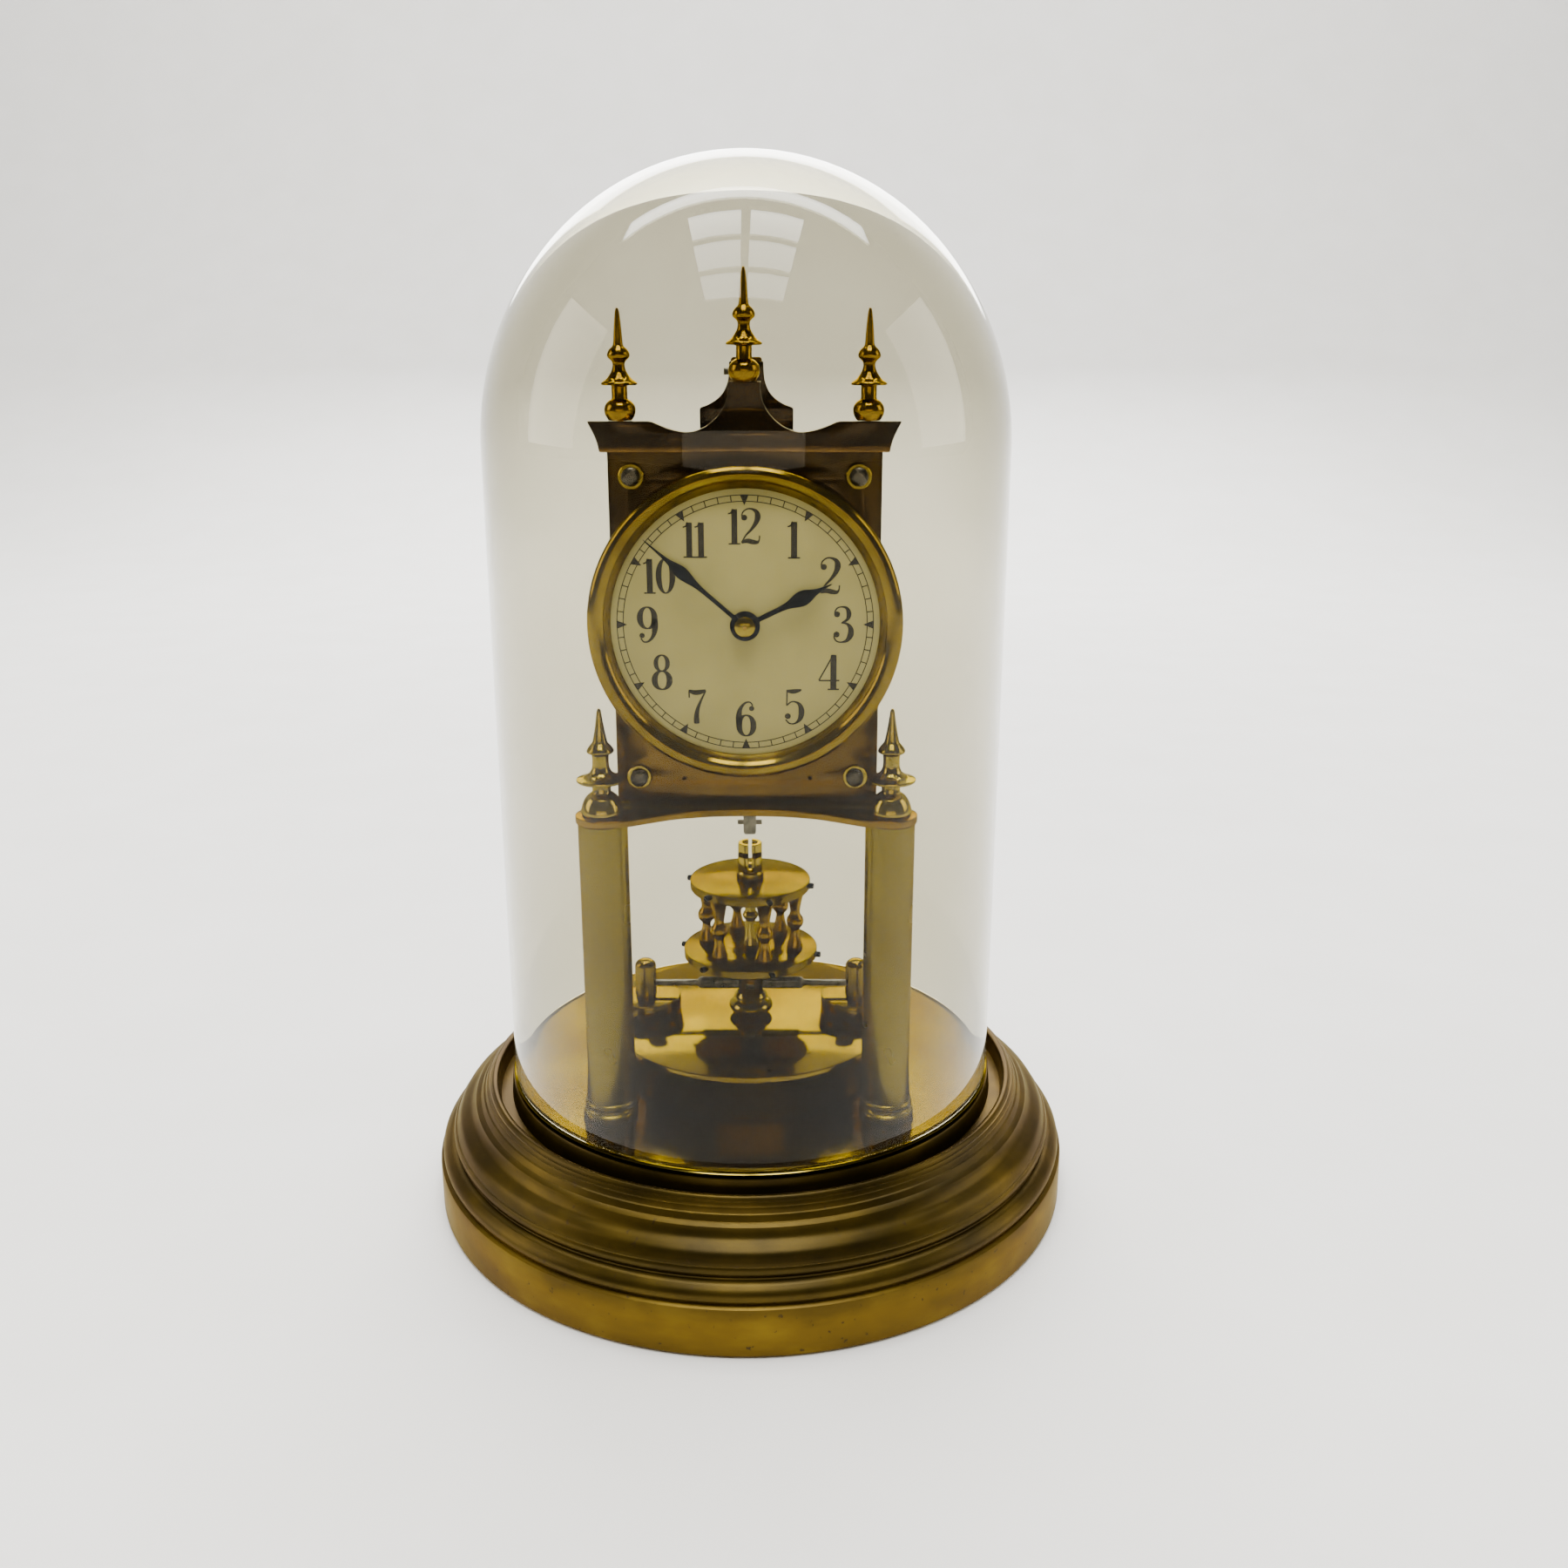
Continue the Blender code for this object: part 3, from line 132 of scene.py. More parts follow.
camera_data = bpy.data.cameras.new("camera")
camera_data.lens = 33.74
camera_data.sensor_width = 36.0
camera = bpy.data.objects.new("camera", camera_data)
camera.location = (0.01066, -0.43598, 0.26086)
camera.rotation_euler = (radians(90 - 16.506), 0, 0)
bpy.context.scene.collection.objects.link(camera)
bpy.context.scene.camera = camera

# Matt white paint: no reflections, and shadows that stay soft.
floor_paint, tree = new_material("matt_white_table")
tint = colour_ramp(tree, mottling(tree, 60), [(0.3, "F4F3F0"), (0.7, "F8F7F5")])
shade(tree, {"Roughness": 0.85, "Specular IOR Level": 0.2}, {"Base Color": tint})
sweep = [(-5.0, 0.0), (1.2, 0.0)]
sweep += [(1.2 + 1.2 * sin(radians(d)), 1.2 - 1.2 * cos(radians(d))) for d in range(6, 91, 6)]
sweep += [(2.4, 6.0)]
points = [(x, y, z) for y, z in sweep for x in (-6, 6)]
floor_mesh = bpy.data.meshes.new("table")
floor_mesh.from_pydata(points, [], [(2 * k, 2 * k + 1, 2 * k + 3, 2 * k + 2) for k in range(len(sweep) - 1)])
floor_mesh.materials.append(floor_paint)
floor_mesh.shade_smooth()
table_top = bpy.data.objects.new("table", floor_mesh)
table_top.location.z = -0.0002
bpy.context.scene.collection.objects.link(table_top)


def soft_lamp(name, at, aim, width, height, watts, colour="FFFFFF"):
    data = bpy.data.lights.new(name, "AREA")
    data.shape = "RECTANGLE"
    data.size = width
    data.size_y = height
    data.energy = watts
    data.color = hex_colour(colour)[:3]
    lamp = bpy.data.objects.new(name, data)
    lamp.location = at
    away = lamp.location - Vector(aim)
    lamp.rotation_euler = away.to_track_quat("Z", "Y").to_euler()
    bpy.context.scene.collection.objects.link(lamp)


for pane_x in (-0.235, 0.235):
    for pane_y in (-0.80, -0.38, 0.04):
        soft_lamp("skylight_pane", (pane_x, pane_y, 1.75), (pane_x, pane_y, 0), 0.4, 0.34, 7.5)
soft_lamp("left_softbox", (-1.7, -0.1, 0.8), (0, 0, 0.12), 0.9, 1.2, 18.0, "FFF6E8")
soft_lamp("right_softbox", (1.7, 0.0, 0.8), (0, 0, 0.12), 0.9, 1.2, 16.0, "FFF8EC")
soft_lamp("rear_softbox", (0.0, 1.6, 0.9), (0, 0, 0.15), 1.6, 0.8, 34.0)
soft_lamp("front_fill", (0.0, -2.4, 0.35), (0, 0, 0.1), 2.2, 0.5, 9.0, "FFF2DC")
soft_lamp("backdrop_wash", (0, 0.9, 2.6), (0, 2.3, 0.7), 3.0, 0.6, 90.0)

world = bpy.data.worlds.new("studio")
world.use_nodes = True
bpy.context.scene.world = world
tree = world.node_tree
tree.nodes.clear()
seen = add_node(tree, "ShaderNodeLightPath")
pale = add_node(tree, "ShaderNodeBackground", {"Color": hex_colour("F4F3F0"), "Strength": 1.0})
place = add_node(tree, "ShaderNodeTexCoord")
split = add_node(tree, "ShaderNodeSeparateXYZ", links={"Vector": place.outputs["Generated"]})
walls = colour_ramp(tree, grey_ramp(tree, split.outputs["Z"], 0.0, 1.0, (-0.4, 1.0)),
                    [(0.0, "6A6656"), (0.30, "A8A38E"), (0.45, "76725E"), (1.0, "5E5B4E")])
room = add_node(tree, "ShaderNodeBackground", {"Strength": 0.85}, {"Color": walls})
mixed = add_node(tree, "ShaderNodeMixShader", links={0: seen.outputs["Is Camera Ray"]})
tree.links.new(room.outputs[0], mixed.inputs[1])
tree.links.new(pale.outputs[0], mixed.inputs[2])
add_node(tree, "ShaderNodeOutputWorld", links={"Surface": mixed.outputs[0]})

# ---- moulded base -----------------------------------------------------------
# The foot is spun from sheet brass over a former: a plain skirt, beads, a deep
# cove and a rim round the glass. Its lacquer has gone olive brown with handling.


def eased(points, steps):
    """A smooth run through given points, for the curved parts of a profile."""
    run = [points[0]] + list(points) + [points[-1]]
    made = []
    for a, b, c, d in zip(run, run[1:], run[2:], run[3:]):
        for k in range(steps):
            t = k / steps
            made.append(tuple(0.5 * (2 * q + (r - p) * t + (2 * p - 5 * q + 4 * r - s) * t * t
                                     + (3 * q - p - 3 * r + s) * t ** 3)
                              for p, q, r, s in zip(a, b, c, d)))
    return made + [points[-1]]


def keep(name, mesh, finish, body, *nodes, at=(0, 0, 0), turn=(0, 0, 0), sharp=30, slot_name=None):
    """Put a finished mesh in the scene as a piece of the clock on its CAD body."""
    mesh.materials.append(finish)
    mesh.shade_smooth()
    mesh.set_sharp_from_angle(angle=radians(sharp))
    piece = bpy.data.objects.new(name, mesh)
    piece.location = [v * MM for v in at]
    piece.rotation_euler = turn
    bpy.context.scene.collection.objects.link(piece)
    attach(piece, body)
    if nodes:
        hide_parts(*nodes)


def lathe(profile, segments, closed=False, ripple=None):
    """Turned or spun work: (radius, height) in millimetres round Z."""
    shape = bmesh.new()
    rings = []
    for r, h in profile:
        if r < 1e-6:
            rings.append([shape.verts.new((0, 0, h * MM))])
            continue
        ring = []
        for k in range(segments):
            a = 2 * pi * k / segments
            rr = r + (ripple(a, r, h) if ripple else 0.0)
            ring.append(shape.verts.new((rr * MM * cos(a), rr * MM * sin(a), h * MM)))
        rings.append(ring)
    pairs = list(zip(rings, rings[1:]))
    if closed:
        pairs.append((rings[-1], rings[0]))
    for low, high in pairs:
        for k in range(segments):
            n = (k + 1) % segments
            corners = [low[k % len(low)], low[n % len(low)], high[n % len(high)], high[k % len(high)]]
            face = []
            for corner in corners:
                if corner not in face:
                    face.append(corner)
            if len(face) > 2:
                shape.faces.new(face)
    bmesh.ops.recalc_face_normals(shape, faces=shape.faces)
    mesh = bpy.data.meshes.new("lathe_work")
    shape.to_mesh(mesh)
    shape.free()
    return mesh


def along(tree, axis):
    """Distance along one of the piece's own axes."""
    place = add_node(tree, "ShaderNodeTexCoord")
    return add_node(tree, "ShaderNodeSeparateXYZ", links={"Vector": place.outputs["Object"]}).outputs[axis]


ON_Z = (0, 0, 0)
FACING_FRONT = (pi / 2, 0, 0)
ALONG_X = (0, pi / 2, 0)

base_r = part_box("base_shell")[1].x / MM
base_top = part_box("base_shell")[1].z / MM
plate_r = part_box("base_plate")[1].x / MM

# Old shellac over spun brass: a brown olive film, turning gold low on the skirt.
old_lacquer, tree = new_material("lacquered_spun_brass")
# Gold below 10 mm of height, olive brown above 18.5 mm.
lower_gold_mask = grey_ramp(tree, along(tree, "Z"), 1.0, 0.0, (0.010, 0.0185))
patches = mottling(tree, 22, 6.0, (1, 1, 2.2))
film = colour_ramp(tree, patches, [(0.25, "241B02"), (0.5, "362A02"), (0.75, "4C3C0A")])
lower_gold = colour_ramp(tree, patches, [(0.25, "4C3A02"), (0.5, "604A04"), (0.75, "76600E")])
colour = blend_colour(tree, lower_gold_mask, film, lower_gold)
specks = grey_ramp(tree, mottling(tree, 2.4, 3.0), 1.0, 0.0, (0.27, 0.33))
colour = blend_colour(tree, specks, colour, colour_ramp(tree, patches, [(0, "2A2009"), (1, "3A2C10")]))
rough = grey_ramp(tree, mottling(tree, 9, 4.0), 0.37, 0.43)
grain = mottling(tree, 0.7, 3.0, (1, 1, 1))
shade(tree, {"Metallic": 0.92, "Coat Weight": 0.15, "Coat Roughness": 0.35},
      {"Base Color": colour, "Roughness": rough, "Normal": bump(tree, grain, 0.05, 0.35)})


def milled(a, r, h):
    """Fine upright flutes on the middle bead, about 1.3 mm apart."""
    return 0.16 * sin(a * 440) if 22.2 < h < 24.6 and r > plate_r + 18 else 0.0


# r is the plate's rim, b the foot's rim and t the top of the base.
r, b, t = plate_r, base_r, base_top
outer = [(r - 16, t), (r + 0.2, t), (r + 0.4, t - 0.3), (r + 0.9, t - 6.2), (r + 4.4, t - 6.4)]
outer += eased([(r + 4.9, t - 4.0), (r + 5.2, t - 1.8), (r + 5.9, t - 1.2), (r + 6.8, t - 1.2),
                (r + 7.4, t - 1.8)], 4)
outer += [(r + 7.6, t - 2.3), (r + 8.0, t - 2.35), (r + 8.3, t - 2.7), (r + 8.5, t - 3.3), (r + 8.9, t - 3.4)]
outer += [(r + 9.2, t - 3.9), (r + 9.5, t - 4.8), (r + 10.0, t - 5.0), (r + 10.6, t - 6.0),
          (r + 10.9, t - 6.6), (r + 11.5, t - 6.8)]
outer += eased([(r + 12.4, t - 7.4), (r + 13.0, t - 8.6), (r + 14.1, t - 10.0), (r + 15.9, t - 11.1),
                (r + 17.4, t - 12.3), (r + 18.5, t - 14.2), (r + 18.9, t - 15.2)], 5)
outer += eased([(r + 19.3, t - 15.3), (r + 19.7, t - 16.1), (r + 19.75, t - 17.2), (r + 19.2, t - 18.4)], 5)
outer += [(r + 19.3, t - 18.8), (r + 20.4, t - 19.0)]
outer += eased([(r + 21.2, t - 19.3), (r + 22.5, t - 20.4), (r + 23.3, t - 21.6), (r + 23.4, t - 22.8),
                (r + 23.0, t - 23.9)], 5)
outer += [(r + 22.9, t - 24.3), (b - 0.9, t - 24.5), (b - 0.25, t - 24.9), (b - 0.05, t - 25.6),
          (b - 0.05, 1.2), (b - 0.4, 0.4), (b - 1.0, 0.0)]
inner = [(b - 2.0, 0.0), (b - 2.2, 0.6), (b - 2.2, 13.6), (b - 7.0, t - 19.3), (b - 12.4, t - 10.9),
         (r + 7.4, t - 5.7), (r + 5.6, t - 8.3), (r - 0.2, t - 8.1), (r - 2.0, t - 2.4), (r - 16, t - 2.4)]
keep("spun_base", lathe(outer + inner, 880, closed=True, ripple=milled), old_lacquer, "clock_frame",
     "base_shell", slot_name="patinated_brass")

# ---- polished base plate ----------------------------------------------------
# A flat brass disc, machine polished and lacquered, rebated at its rim for the
# glass. It mirrors the columns and shows a few dark specks.


def polished_brass(name, dark, light, rough, cloud, speck=2.2, speck_edge=(0.24, 0.28)):
    """Buffed brass: mirror bright, with cloudy tarnish, dark specks and hair-line scratches."""
    made, tree = new_material(name)
    clouds = mottling(tree, cloud, 5.0)
    colour = colour_ramp(tree, clouds, [(0.28, dark), (0.72, light)])
    specks = grey_ramp(tree, mottling(tree, speck, 2.0), 1.0, 0.0, speck_edge)
    grime = colour_ramp(tree, clouds, [(0, "3A2A10"), (1, "3A2A10")])
    colour = blend_colour(tree, specks, colour, grime)
    dull = grey_ramp(tree, mottling(tree, cloud, 3.0), rough[0], rough[1])
    hair = mottling(tree, 1.6, 2.0, (0.12, 1.0, 1.0))
    shade(tree, {"Metallic": 1.0}, {"Base Color": colour, "Roughness": dull,
                                    "Normal": bump(tree, hair, 0.01, 0.25)})
    return made


plate_polish = polished_brass("buffed_plate_brass", "544614", "74662A", rough=(0.12, 0.15), cloud=26,
                              speck=3.2, speck_edge=(0.255, 0.275))
low, high = (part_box("base_plate")[k].z / MM for k in (0, 1))
disc = [(0, high), (r - 3.35, high), (r - 3.15, high - 0.15), (r - 3.1, high - 0.6), (r - 0.3, high - 0.6),
        (r, high - 0.8), (r, low + 0.1), (r - 0.2, low), (0, low)]
keep("plate_disc", lathe(disc, 192), plate_polish, "clock_frame", "base_plate", slot_name="polished_brass")

# ---- columns ----------------------------------------------------------------
# Two turned brass columns, each with a ringed foot, screwed up through the
# base plate. They are satin from fine emery, with a few brown stains.


def turned_brass(name, dark, light, rough, cloud, rings):
    """Brass left from the lathe tool and emery: fine rings round the axis and a soft sheen."""
    made, tree = new_material(name)
    clouds = mottling(tree, cloud, 6.0, (1, 1, 0.6))
    colour = colour_ramp(tree, clouds, [(0.27, dark), (0.5, light)])
    stains = grey_ramp(tree, mottling(tree, 4.0, 2.0), 0.6, 0.0, (0.22, 0.30))
    colour = blend_colour(tree, stains, colour, colour_ramp(tree, clouds, [(0, "54401A"), (1, "6A5222")]))
    dull = grey_ramp(tree, mottling(tree, 12, 2.0), rough[0], rough[1])
    tool_marks = mottling(tree, 3.0, 1.0, (0.05, 0.05, 5.0))
    shade(tree, {"Metallic": 1.0}, {"Base Color": colour, "Roughness": dull,
                                    "Normal": bump(tree, tool_marks, 0.0012, rings)})
    return made


column_brass = turned_brass("emery_turned_brass", "74661A", "847628", (0.26, 0.275), 40, 0.2)
fine_brass = turned_brass("lathe_bright_brass", "7E6E1C", "AE9C40", (0.11, 0.14), 8, 0.2)
COLUMN_R, COLUMN_TALL = 7.0, 90.1


def centre(node):
    """Where an upright CAD node's axis passes, seen from above."""
    low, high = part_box(node)
    return (low.x + high.x) / 2 / MM, (low.y + high.y) / 2 / MM


for side in ("left", "right"):
    top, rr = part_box("column_" + side)[1].z / MM, COLUMN_R
    foot = top - COLUMN_TALL
    profile = [(0, top), (rr - 0.3, top), (rr, top - 0.3), (rr, foot + 5.2)]
    profile += eased([(rr, foot + 4.9), (rr + 0.35, foot + 4.55), (rr + 0.5, foot + 4.0),
                      (rr + 0.35, foot + 3.45), (rr + 0.05, foot + 3.1)], 4)
    profile += eased([(rr - 0.1, foot + 2.9), (rr + 0.1, foot + 2.3), (rr + 0.55, foot + 1.9)], 3)
    profile += eased([(rr + 0.75, foot + 1.75), (rr + 0.9, foot + 1.2), (rr + 0.85, foot + 0.4),
                      (rr + 0.7, foot)], 4)
    profile += [(0, foot)]
    keep("turned_column_" + side, lathe(profile, 96), column_brass, "clock_frame", "column_" + side,
         at=(*centre("column_" + side), 0), slot_name="turned_brass")

# ---- platform ---------------------------------------------------------------
# A 2 mm brass plate sawn hollow in front, with round ears that sit on the
# columns. Its edges are filed and broken, and its top is left satin.


def flat_work(name, loops, low, high, plane="XZ", at=(0, 0), soft=0.12):
    """Sheet metal cut to an outline, between two depths, with broken edges."""
    curve = bpy.data.curves.new(name, "CURVE")
    curve.dimensions = "2D"
    curve.fill_mode = "BOTH"
    curve.extrude = ((high - low) / 2 - soft) * MM
    curve.bevel_depth = soft * MM
    curve.offset = -soft * MM
    curve.bevel_resolution = 1
    for loop in loops:
        spline = curve.splines.new("POLY")
        spline.points.add(len(loop) - 1)
        spline.use_cyclic_u = True
        for point, (x, z) in zip(spline.points, loop):
            point.co = (x * MM, z * MM, 0, 1)
    holder = bpy.data.objects.new(name, curve)
    bpy.context.scene.collection.objects.link(holder)
    mesh = bpy.data.meshes.new_from_object(holder.evaluated_get(bpy.context.evaluated_depsgraph_get()))
    bpy.data.objects.remove(holder)
    joined = bmesh.new()
    joined.from_mesh(mesh)
    bmesh.ops.remove_doubles(joined, verts=joined.verts, dist=1e-6)
    bmesh.ops.recalc_face_normals(joined, faces=joined.faces)
    joined.to_mesh(mesh)
    joined.free()
    middle = (low + high) / 2
    if plane == "XZ":
        return mesh, (at[0], middle, at[1]), FACING_FRONT
    return mesh, (at[0], at[1], middle), ON_Z


def arc(x, z, radius, start, end, steps):
    """Points on a round stretch, from one angle in degrees to another."""
    return [(x + radius * cos(radians(start + (end - start) * k / steps)),
             z + radius * sin(radians(start + (end - start) * k / steps))) for k in range(steps + 1)]


def round_hole(x, z, radius):
    """A full ring of 24 points."""
    return arc(x, z, radius, 0, 345, 23)


column_x, column_y = centre("column_right")
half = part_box("front_plate")[1].x / MM
low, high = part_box("platform")
front = eased([(0, column_y + 4.0), (9.5, column_y + 3.3), (19.0, column_y + 1.1), (24.0, column_y - 1.2),
               (column_x - 12.2, column_y - 3.7), (column_x - 8.6, column_y - 5.7),
               (column_x - 5.1, column_y - 6.9)], 4)
right = front + arc(column_x, column_y, 7.6, -100, 100, 30)
right += [(half, column_y + 9.6), (half, high.y / MM)]
outline = right + [(-px, py) for px, py in reversed(right[1:])]
mesh, spot, turn = flat_work("platform", [outline], low.z / MM, high.z / MM, "XY", soft=0.18)
platform_brass = polished_brass("filed_platform_brass", "6A5416", "94782A", rough=(0.16, 0.19), cloud=16)
keep("movement_platform", mesh, platform_brass, "clock_frame", "platform", at=spot, turn=turn,
     slot_name="turned_brass")

# ---- column finials ---------------------------------------------------------
# Turned spires screwed through the platform into the columns: a bell foot, a
# flat collar, a waist with a bead, and a long tapering point.
profile = [(0, 30.4), (0.35, 30.3), (0.6, 29.6)]
profile += eased([(0.75, 28.5), (1.05, 26.4), (1.5, 23.6), (1.95, 21.4), (2.15, 20.6)], 5)
profile += eased([(2.4, 20.4), (3.5, 19.0), (3.8, 18.3), (3.55, 17.8), (2.7, 17.4)], 5)
profile += eased([(2.45, 17.1), (2.3, 16.0), (2.3, 14.6), (2.45, 13.4), (3.2, 12.0), (4.8, 10.9),
                  (6.5, 10.35), (6.8, 10.25)], 5)
profile += eased([(6.85, 10.0), (6.85, 9.7), (6.6, 9.45)], 3) + [(2.9, 9.3), (2.6, 9.1), (2.6, 6.4)]
profile += eased([(2.7, 6.2), (3.4, 5.8), (4.5, 4.8), (5.3, 3.3), (5.8, 1.6), (5.95, 0.5), (5.8, 0.0)], 5)
profile += [(0, 0)]
for side in ("left", "right"):
    node = "column_finial_" + side
    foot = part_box(node)[1].z / MM - profile[0][1]
    keep("turned_finial_" + side, lathe(profile, 64), fine_brass, "clock_frame", node,
         at=(*centre(node), foot), slot_name="turned_brass")

# ---- movement plates --------------------------------------------------------
# Front and back plates of hard brass sheet, pierced for the pivots. The front one
# was lacquered dark, golden low down and darker toward the top; the rear is bright.
SHEET = 1.8

# Shellac on rolled brass: golden below, dark brown toward the top, with grain showing through.
brown_film, tree = new_material("graded_lacquer_plate")
patches = mottling(tree, 15, 6.0)
golden = colour_ramp(tree, patches, [(0.3, "584208"), (0.7, "765C16")])
brown = colour_ramp(tree, patches, [(0.3, "2E2108"), (0.7, "4A3810")])
# Darker toward the top, between 150 mm and 205 mm of height.
upper = grey_ramp(tree, along(tree, "Y"), 0.0, 1.0, (0.150, 0.205))
colour = blend_colour(tree, upper, golden, brown)
dull = grey_ramp(tree, mottling(tree, 12, 3.0), 0.20, 0.24)
hair = mottling(tree, 2.0, 3.0, (1.0, 0.1, 1.0))
shade(tree, {"Metallic": 1.0, "Coat Weight": 0.3, "Coat Roughness": 0.12},
      {"Base Color": colour, "Roughness": dull, "Normal": bump(tree, hair, 0.012, 0.3)})


def middle(node):
    """Where a turned CAD node's axis passes, seen from the front."""
    low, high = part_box(node)
    return (low.x + high.x) / 2 / MM, (low.z + high.z) / 2 / MM


dial_z = middle("dial")[1]
pillar_x = middle("pillar_upper_right")[0]
pillar_zs = [middle("pillar_%s_left" % row)[1] for row in ("lower", "upper")]
plate_low, plate_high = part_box("back_plate")
z0, z1 = plate_low.z / MM, plate_high.z / MM
front_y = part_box("gallery")[1].y / MM + 0.2


def rounded_plate(holes):
    """The outline of both plates, with 1 mm corners."""
    c = 1.0
    outline = arc(half - c, z0 + c, c, -90, 0, 5) + arc(half - c, z1 - c, c, 0, 90, 5)
    outline += arc(c - half, z1 - c, c, 90, 180, 5) + arc(c - half, z0 + c, c, 180, 270, 5)
    return [outline] + holes


pivots = [middle(n) for n in ("first_arbor", "second_arbor", "third_arbor", "escape_arbor")]
barrel_spot = middle("barrel")
anchor_spot = (0, dial_z + 33.3)
holes = [round_hole(x, z, 0.65) for x, z in pivots + [anchor_spot]]
holes += [round_hole(0, dial_z, 0.85), round_hole(*barrel_spot, 1.3)]
holes += [round_hole(s * 18.2, z0 + 6.9, 0.6) for s in (-1, 1)]
holes += [round_hole(s * pillar_x, z, 1.25) for s in (-1, 1) for z in pillar_zs]
mesh, spot, turn = flat_work("front", rounded_plate(holes), front_y, front_y + SHEET)
keep("lacquered_front_plate", mesh, brown_film, "clock_frame", "front_plate", at=spot, turn=turn,
     slot_name="lacquered_brass")
minute_spot = middle("minute_wheel")
keep("minute_wheel_stud", lathe([(0, 6.4), (0.5, 6.4), (0.65, 6.2), (0.65, 0.0), (0, 0.0)], 32),
     fine_brass, "clock_frame", at=(minute_spot[0], front_y, minute_spot[1]), turn=FACING_FRONT)
rear_brass = polished_brass("grained_back_plate", "6E5A18", "94782A", rough=(0.17, 0.20), cloud=20)
holes = [round_hole(x, z, 0.65) for x, z in pivots + [(0, dial_z)]]
holes += [round_hole(*anchor_spot, 1.1), round_hole(*barrel_spot, 1.8)]
holes += [round_hole(s * pillar_x, z, 1.5) for s in (-1, 1) for z in pillar_zs]
back_y = plate_low.y / MM
mesh, spot, turn = flat_work("back", rounded_plate(holes), back_y, back_y + SHEET)
keep("grained_back_plate", mesh, rear_brass, "clock_frame", "back_plate", at=spot, turn=turn,
     slot_name="turned_brass")
keep("click_stud", lathe([(0, 3.6), (0.75, 3.6), (0.9, 3.45), (0.9, 0.0), (0, 0.0)], 32), fine_brass,
     "clock_frame", at=(barrel_spot[0] - 9.6, back_y + 3.65, barrel_spot[1] + 5.6),
     turn=FACING_FRONT)

# ---- pillars, screws and collars --------------------------------------------
# Four turned pillars riveted behind and tapped in front. Each burnished steel
# screw has a slotted, slightly domed head and stands on a loose brass collar.


def steel(name, dark, light, glancing, cloud, rough, metallic=1.0):
    """Steel with cloudy oil on it, from the one colour to the other."""
    made, tree = new_material(name)
    clouds = mottling(tree, cloud, 4.0)
    shade(tree, {"Metallic": metallic, "Specular Tint": hex_colour(glancing)},
          {"Base Color": colour_ramp(tree, clouds, [(0.3, dark), (0.7, light)]),
           "Roughness": grey_ramp(tree, clouds, rough[0], rough[1])})
    return made


# Hardened steel, burnished on the lathe: a grey sheen a little warmer than chrome.
polished_steel = steel("burnished_screw_steel", "4C4A48", "6E6B66", "E8E8E8", 3, (0.25, 0.28))
gap = back_y - front_y - SHEET
pillar = [(0, gap - 8.0), (1.25, gap - 7.9), (1.25, gap - 0.2), (3.0, gap - 0.2), (3.2, gap - 0.4)]
pillar += eased([(3.2, gap - 1.4), (2.5, gap - 2.2), (2.5, gap - 3.4), (2.5, gap / 2 + 1.7), (3.15, gap / 2),
                 (2.5, gap / 2 - 1.7), (2.5, 3.4), (2.5, 2.2), (3.2, 1.4)], 4)
pillar += [(3.2, 0.4), (3.0, 0.2), (1.4, 0.2), (1.4, -1.9), (1.2, -2.1), (0, -2.1)]
collar = [(1.25, 0.2), (3.3, 0.2), (3.5, 0.35), (3.5, 0.85), (3.3, 1.05), (1.25, 1.05)]
head = [(0, 1.75), (1.2, 1.7), (2.0, 1.55), (2.45, 1.2), (2.55, 0.9), (2.55, 0.1), (2.4, 0), (1.1, 0),
        (1.1, -7.6), (0, -7.6)]


def cut_slot(piece_mesh, at, size, turn=0.0):
    """Mill a straight slot or hole through a mesh."""
    tool = bmesh.new()
    bmesh.ops.create_cube(tool, size=1.0)
    tool_mesh = bpy.data.meshes.new("mill")
    tool.to_mesh(tool_mesh)
    tool.free()
    work = bpy.data.objects.new("work", piece_mesh)
    mill = bpy.data.objects.new("mill", tool_mesh)
    mill.scale = [v * MM for v in size]
    mill.location = [v * MM for v in at]
    mill.rotation_euler = (0, 0, turn)
    for thing in (work, mill):
        bpy.context.scene.collection.objects.link(thing)
    cut = work.modifiers.new("cut", "BOOLEAN")
    cut.object = mill
    cut.operation = "DIFFERENCE"
    cut.solver = "EXACT"
    bpy.context.view_layer.update()
    made = bpy.data.meshes.new_from_object(work.evaluated_get(bpy.context.evaluated_depsgraph_get()))
    bpy.data.objects.remove(work)
    bpy.data.objects.remove(mill)
    return made


for side, s in (("left", -1), ("right", 1)):
    for row in (0, 1):
        corner = ("lower", "upper")[row] + "_" + side
        x, z = s * pillar_x, pillar_zs[row]
        keep("turned_pillar_" + corner, lathe(pillar, 40), fine_brass, "clock_frame",
             "pillar_" + corner, at=(x, back_y, z), turn=FACING_FRONT, slot_name="turned_brass")
        keep("collar_" + corner, lathe(collar, 48, closed=True), fine_brass, "clock_frame",
             at=(x, front_y, z), turn=FACING_FRONT, slot_name="turned_brass")
        slotted = cut_slot(lathe(head, 48), (0, 0, 1.9), (8, 0.6, 1.6), radians(35 + 50 * row + 20 * s))
        keep("slotted_screw_" + corner, slotted, polished_steel, "clock_frame",
             "plate_screw_" + corner, at=(x, front_y - 1.3, z), turn=FACING_FRONT,
             slot_name="clock_steel")
